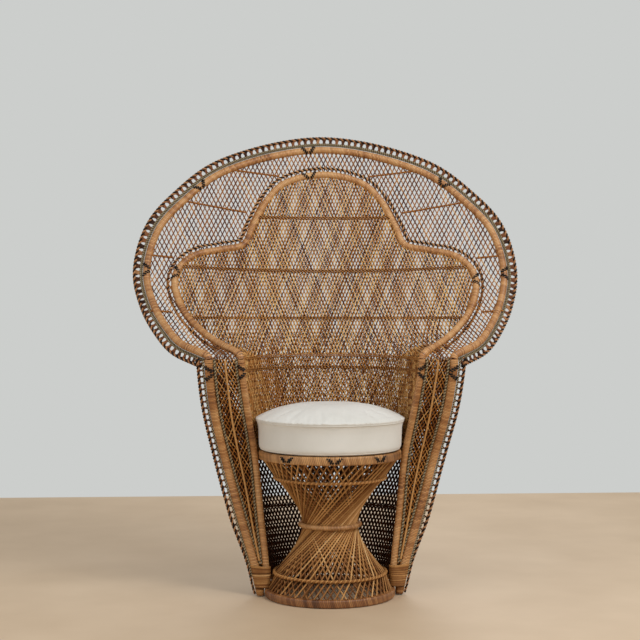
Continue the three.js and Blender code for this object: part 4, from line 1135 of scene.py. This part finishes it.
def chevron(place, along, out, front, radius, depth, pointing=1):
    """Two stepped rows of short black peels that close towards the pole's inner side."""
    strokes = []
    for side in (-1, 1):
        for step in range(MARK_DASHES):
            share = step / (MARK_DASHES - 1)
            angle = lerp(*MARK_ANGLES, share) * pointing
            reach = side * lerp(*MARK_REACHES, share)
            dash = []
            for turn in DASH_TURNS:
                a = angle + turn
                shift = along * (reach - side * turn * DASH_SLANT * pointing)
                dash.append(place + shift + radius * math.sin(a) * out + depth * math.cos(a) * front)
            strokes.append((np.array(dash), MARK_GIRTH, MARK_TONE))
    return strokes


def pole_marks(path, radius, spots, pointing=1):
    """A chevron at the point of a pole nearest to each spot."""
    line, _ = evenly(path, 3)
    out, front = sides_of(line)
    along = unit(np.gradient(line, axis=0))
    marks = []
    for x, z in spots:
        k = int(np.argmin(np.hypot(line[:, 0] - x, line[:, 2] - z)))
        marks += chevron(line[k], along[k], out[k], front[k], radius + MARK_OUT, radius + MARK_OUT, pointing)
    return marks


def make_marks():
    marks = pole_marks(arch, ARCH_RADIUS, ARCH_MARKS)
    marks += pole_marks(trefoil, TREFOIL_RADIUS, TREFOIL_MARKS)
    for (_, turn), sign in zip(SIDES, (-1, 1)):
        outer = [(sign * outer_rim(OUTER_ARM_MARK)[0], OUTER_ARM_MARK)]
        marks += pole_marks(turn(outer_pole), OUTER_RADIUS, outer, -sign)
        inner = [(sign * inner_rim(INNER_ARM_MARK)[0], INNER_ARM_MARK)]
        marks += pole_marks(turn(inner_pole), INNER_RADIUS, inner, -sign)
    for angle in SEAT_MARK_ANGLES:
        a = math.radians(angle - 90)
        outward = np.array([math.cos(a), math.sin(a), 0])
        along = np.array([-math.sin(a), math.cos(a), 0])
        place = outward * SEAT_MARK_RADIUS + [0, 0, SEAT_BOTTOM + SEAT_HEIGHT / 2]
        marks += chevron(place, along, np.array([0, 0, 1.0]), outward, SEAT_MARK_HEIGHT, SEAT_MARK_DEPTH)
    canes("black_peel_marks", marks, BLACK_PEEL)


make_marks()


# Seat deck

DECK_HEIGHT = SEAT_BOTTOM + 16.3
DECK_RADIUS, DECK_HALF, DECK_PITCH = SEAT_RADIUS - SEAT_WIDTH - 1, 190, 10
DECK_LIFT, DECK_GIRTH, DECK_TONE, DECK_SPREAD = 1.3, 2.7, 0.55, 0.12


def make_deck():
    """Plain weave under the cushion: canes both ways, over and under in turn."""
    places = np.arange(-DECK_HALF, DECK_HALF + 1, DECK_PITCH)
    strands = []
    for way in (0, 1):
        for k, a in enumerate(places):
            half = math.sqrt(max(DECK_RADIUS ** 2 - a * a, 0))
            b = np.concatenate([[-half], places[np.abs(places) < half - 2], [half]])
            n = np.round((b + DECK_HALF) / DECK_PITCH).astype(int)
            z = DECK_HEIGHT + np.where((n + k + way) % 2 == 0, DECK_LIFT, -DECK_LIFT)
            line = np.stack([b, 0 * b + a, z] if way == 0 else [0 * b + a, b, z], 1)
            strands.append((line, DECK_GIRTH, DECK_TONE + DECK_SPREAD * rng.standard_normal()))
    canes("seat_deck_weave", strands, GOLD_CANE, ["seat_deck"], sides=4)


make_deck()


# Cushion

# Profile: shares of the radius and heights up to the seam, then shares of the radius and of the crown
CUSHION_SIDE = [(0.5, CUSHION_BOTTOM), (0.86, CUSHION_BOTTOM), (0.905, CUSHION_BOTTOM + 4),
                (0.926, CUSHION_BOTTOM + 12), (0.935, CUSHION_SEAM - 24), (0.946, CUSHION_SEAM - 7),
                (0.957, CUSHION_SEAM), (0.98, CUSHION_SEAM + 9)]
CUSHION_DOME = [(0.92, 0.48), (0.7, 0.8), (0.4, 0.95)]
FILL_RISE = 10
CUSHION_CROWN = CUSHION_TOP - CUSHION_SEAM - FILL_RISE
LOWER_SEAM = CUSHION_BOTTOM + 6
CUSHION_COUNT, SEAM_COUNT, SEAM_GIRTH, SEAM_SUNK = 96, 180, 1.5, 0.3
CLOTH_FRAMES, CLOTH_PRESSURE, CLOTH_MASS, CLOTH_STIFFNESS = 20, 4, 0.3, 12
CLOTH_CELL, LARGEST_SHIFT, RAY_START = 0.006, 0.022, 0.4
SEAM_HOLD, FOOT_HOLD, HELD_FROM = 7, 5, 0.93


def cloth_finish():
    """Off-white woven cover: fine crossing threads and soft shading."""
    finish, tree, add, shader = new_finish("off_white_cover")
    place = add("ShaderNodeTexCoord").outputs["Object"]
    cloud = noise(add, place, scale=9.0, detail=3.0)
    colour = ramp_of(add, cloud, [(0.3, srgb(219, 218, 211)), (0.7, srgb(229, 228, 222))])
    tree.links.new(colour, shader.inputs["Base Color"])
    shader.inputs["Roughness"].default_value = 0.9
    shader.inputs["Sheen Weight"].default_value = 0.25
    warp, weft = (add("ShaderNodeTexWave", {"Vector": place, "Scale": 420.0, "Distortion": 1.5},
                      bands_direction=way).outputs["Fac"] for way in ("X", "Z"))
    threads = add("ShaderNodeMath", {0: warp, 1: weft}, operation="ADD").outputs[0]
    roughen(tree, add, shader, threads, strength=0.18, distance=0.0005)
    return finish


OFF_WHITE = cloth_finish()


def cushion_blank():
    """The cover before it is filled: rings of points on the cushion's profile, made an even mesh."""
    rings = [(CUSHION_RADIUS * share, z) for share, z in CUSHION_SIDE]
    rings += [(CUSHION_RADIUS * share, CUSHION_SEAM + CUSHION_CROWN * up) for share, up in CUSHION_DOME]
    count = CUSHION_COUNT
    points, faces = [(0, 0, CUSHION_BOTTOM)], []
    for r, z in rings:
        points += [around(r, 2 * math.pi * k / count, z) for k in range(count)]
    points.append((0, 0, CUSHION_SEAM + CUSHION_CROWN))
    last = 1 + (len(rings) - 1) * count
    for k in range(count):
        n = (k + 1) % count
        faces.append((0, 1 + n, 1 + k))
        for a in range(1, last, count):
            faces.append((a + k, a + n, a + count + n, a + count + k))
        faces.append((last + k, last + n, len(points) - 1))
    mesh = bpy.data.meshes.new("cushion_cover")
    mesh.from_pydata([tuple(p) for p in metres(points)], [], faces)
    cover = bpy.data.objects.new("cushion_cover", mesh)
    bpy.context.scene.collection.objects.link(cover)
    even = cover.modifiers.new("even", "REMESH")
    even.mode, even.voxel_size = "VOXEL", CLOTH_CELL
    keep_shape(cover)
    return cover


def places_of(piece):
    return np.array([v.co[:] for v in piece.data.vertices])


def fill_cushion(cover):
    """Blows the cover up as cloth that is held at its seams, within the cushion's height."""
    start = places_of(cover)
    radius, z = np.hypot(start[:, 0], start[:, 1] - MIDDLE.y) * 1000, start[:, 2] * 1000
    at_seam = (np.abs(z - CUSHION_SEAM) < SEAM_HOLD) & (radius > CUSHION_RADIUS * HELD_FROM)
    at_foot = z < CUSHION_BOTTOM + FOOT_HOLD
    held = cover.vertex_groups.new(name="seams")
    held.add([int(k) for k in np.flatnonzero(at_seam | at_foot)], 1.0, "REPLACE")
    cloth = cover.modifiers.new("soft", "CLOTH").settings
    cloth.use_pressure = True
    cloth.uniform_pressure_force = CLOTH_PRESSURE
    cloth.mass = CLOTH_MASS
    cloth.vertex_group_mass = "seams"
    cloth.tension_stiffness = cloth.compression_stiffness = CLOTH_STIFFNESS
    cloth.effector_weights.gravity = 0
    scene = bpy.context.scene
    for number in range(1, CLOTH_FRAMES + 1):
        scene.frame_set(number)
    keep_shape(cover)
    scene.frame_set(1)
    moved = places_of(cover) - start
    size = np.linalg.norm(moved, axis=1, keepdims=True)
    end = start + moved * np.minimum(1, LARGEST_SHIFT / np.maximum(size, 1e-9))
    end[:, 2] = np.clip(end[:, 2], CUSHION_BOTTOM / 1000, CUSHION_TOP / 1000)
    cover.data.vertices.foreach_set("co", end.ravel())


def seam_loop(tree, z):
    """A line round the cover at a height, a little sunk into it."""
    loop = []
    for k in range(SEAM_COUNT):
        way = Vector(around(1, 2 * math.pi * k / SEAM_COUNT, 0))
        hit = tree.ray_cast(MIDDLE + Vector((0, 0, z / 1000)) + way * RAY_START, -way)[0]
        loop.append(np.array(hit - MIDDLE) * 1000 - np.array(way) * SEAM_SUNK)
    return np.array(loop), SEAM_GIRTH, 0.5, True


def make_cushion():
    cover = cushion_blank()
    fill_cushion(cover)
    smooth = cover.modifiers.new("fine", "SUBSURF")
    smooth.levels = smooth.render_levels = 1
    keep_shape(cover)
    cover.data.shade_smooth()
    cover.data.materials.append(OFF_WHITE)
    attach(cover, "cushion")
    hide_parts("cushion")
    faces = [p.vertices[:] for p in cover.data.polygons]
    tree = BVHTree.FromPolygons([v.co for v in cover.data.vertices], faces)
    loops = [seam_loop(tree, z) for z in (CUSHION_SEAM, LOWER_SEAM)]
    canes("cushion_seams", loops, OFF_WHITE, sides=6, body="cushion")


make_cushion()


# Floor, light and camera, in metres

FLOOR_HALF, FLOOR_BEHIND = 6, 2.2
CAMERA_DISTANCE, CAMERA_HEIGHT, CAMERA_ASIDE = 4.3, 0.906, math.radians(3.5)
IMAGE_SIZE, FOCAL_PIXELS, SHIFT_PIXELS, SENSOR = 640, 1400, (-10, -20), 36


def make_floor():
    mesh = bpy.data.meshes.new("floor")
    front, back = MIDDLE.y - FLOOR_HALF, MIDDLE.y + FLOOR_BEHIND
    corners = [(-FLOOR_HALF, front, 0), (FLOOR_HALF, front, 0), (FLOOR_HALF, back, 0), (-FLOOR_HALF, back, 0)]
    mesh.from_pydata(corners, [], [(0, 1, 2, 3)])
    floor = bpy.data.objects.new("floor", mesh)
    bpy.context.scene.collection.objects.link(floor)
    finish, tree, add, shader = new_finish("pale_floor")
    cloud = noise(add, add("ShaderNodeTexCoord").outputs["Object"], scale=3.0, detail=4.0)
    colour = ramp_of(add, cloud, [(0.3, srgb(198, 173, 142)), (0.7, srgb(208, 184, 154))])
    tree.links.new(colour, shader.inputs["Base Color"])
    shader.inputs["Roughness"].default_value = 0.6
    mesh.materials.append(finish)
    floor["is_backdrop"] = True


def make_world():
    """Soft light all round, and a pale wall that only the camera and reflections see."""
    world = bpy.data.worlds.new("studio")
    bpy.context.scene.world = world
    world.use_nodes = True
    tree = world.node_tree
    add = node_maker(tree)
    light = tree.nodes["Background"]
    light.inputs["Color"].default_value = (1, 0.985, 0.965, 1)
    light.inputs["Strength"].default_value = 0.46
    wall = add("ShaderNodeBackground", {"Color": srgb(204, 206, 204), "Strength": 1.0})
    ray = add("ShaderNodeLightPath").outputs
    seen = ray["Is Camera Ray"]
    for kind in ("Is Glossy Ray", "Is Transmission Ray"):
        seen = add("ShaderNodeMath", {0: seen, 1: ray[kind]}, operation="MAXIMUM").outputs[0]
    mix = add("ShaderNodeMixShader", {0: seen, 1: light.outputs[0], 2: wall.outputs[0]})
    tree.links.new(mix.outputs[0], tree.nodes["World Output"].inputs["Surface"])


def lamp(name, place, size, power, target):
    data = bpy.data.lights.new(name, "AREA")
    data.shape, data.size, data.energy = "DISK", size, power
    item = bpy.data.objects.new(name, data)
    item.location = MIDDLE + Vector(place)
    item.rotation_euler = (MIDDLE + Vector(target) - item.location).to_track_quat("-Z", "Y").to_euler()
    bpy.context.scene.collection.objects.link(item)


def make_camera():
    view = bpy.data.cameras.new("camera")
    view.sensor_width = SENSOR
    view.lens = SENSOR * FOCAL_PIXELS / IMAGE_SIZE
    view.shift_x, view.shift_y = (shift / IMAGE_SIZE for shift in SHIFT_PIXELS)
    camera = bpy.data.objects.new("camera", view)
    x, y = -CAMERA_DISTANCE * math.sin(CAMERA_ASIDE), -CAMERA_DISTANCE * math.cos(CAMERA_ASIDE)
    camera.location = MIDDLE + Vector((x, y, CAMERA_HEIGHT))
    camera.rotation_euler = (math.pi / 2, 0, -CAMERA_ASIDE)
    bpy.context.scene.collection.objects.link(camera)
    bpy.context.scene.camera = camera
    bpy.context.scene.view_settings.view_transform = "Standard"


make_floor()
make_world()
lamp("key", place=(1.9, -2.2, 3.5), size=2.0, power=88, target=(0, 0, 0.9))
lamp("fill", place=(-2.8, -2.4, 2.2), size=2.6, power=26, target=(0, 0, 0.9))
lamp("back", place=(0.8, 3.0, 2.8), size=2.4, power=34, target=(0, 0, 0.8))
make_camera()

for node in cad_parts.values():
    node.data.materials.clear()
    node.data.materials.append(BARE_POLE)

low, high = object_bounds()
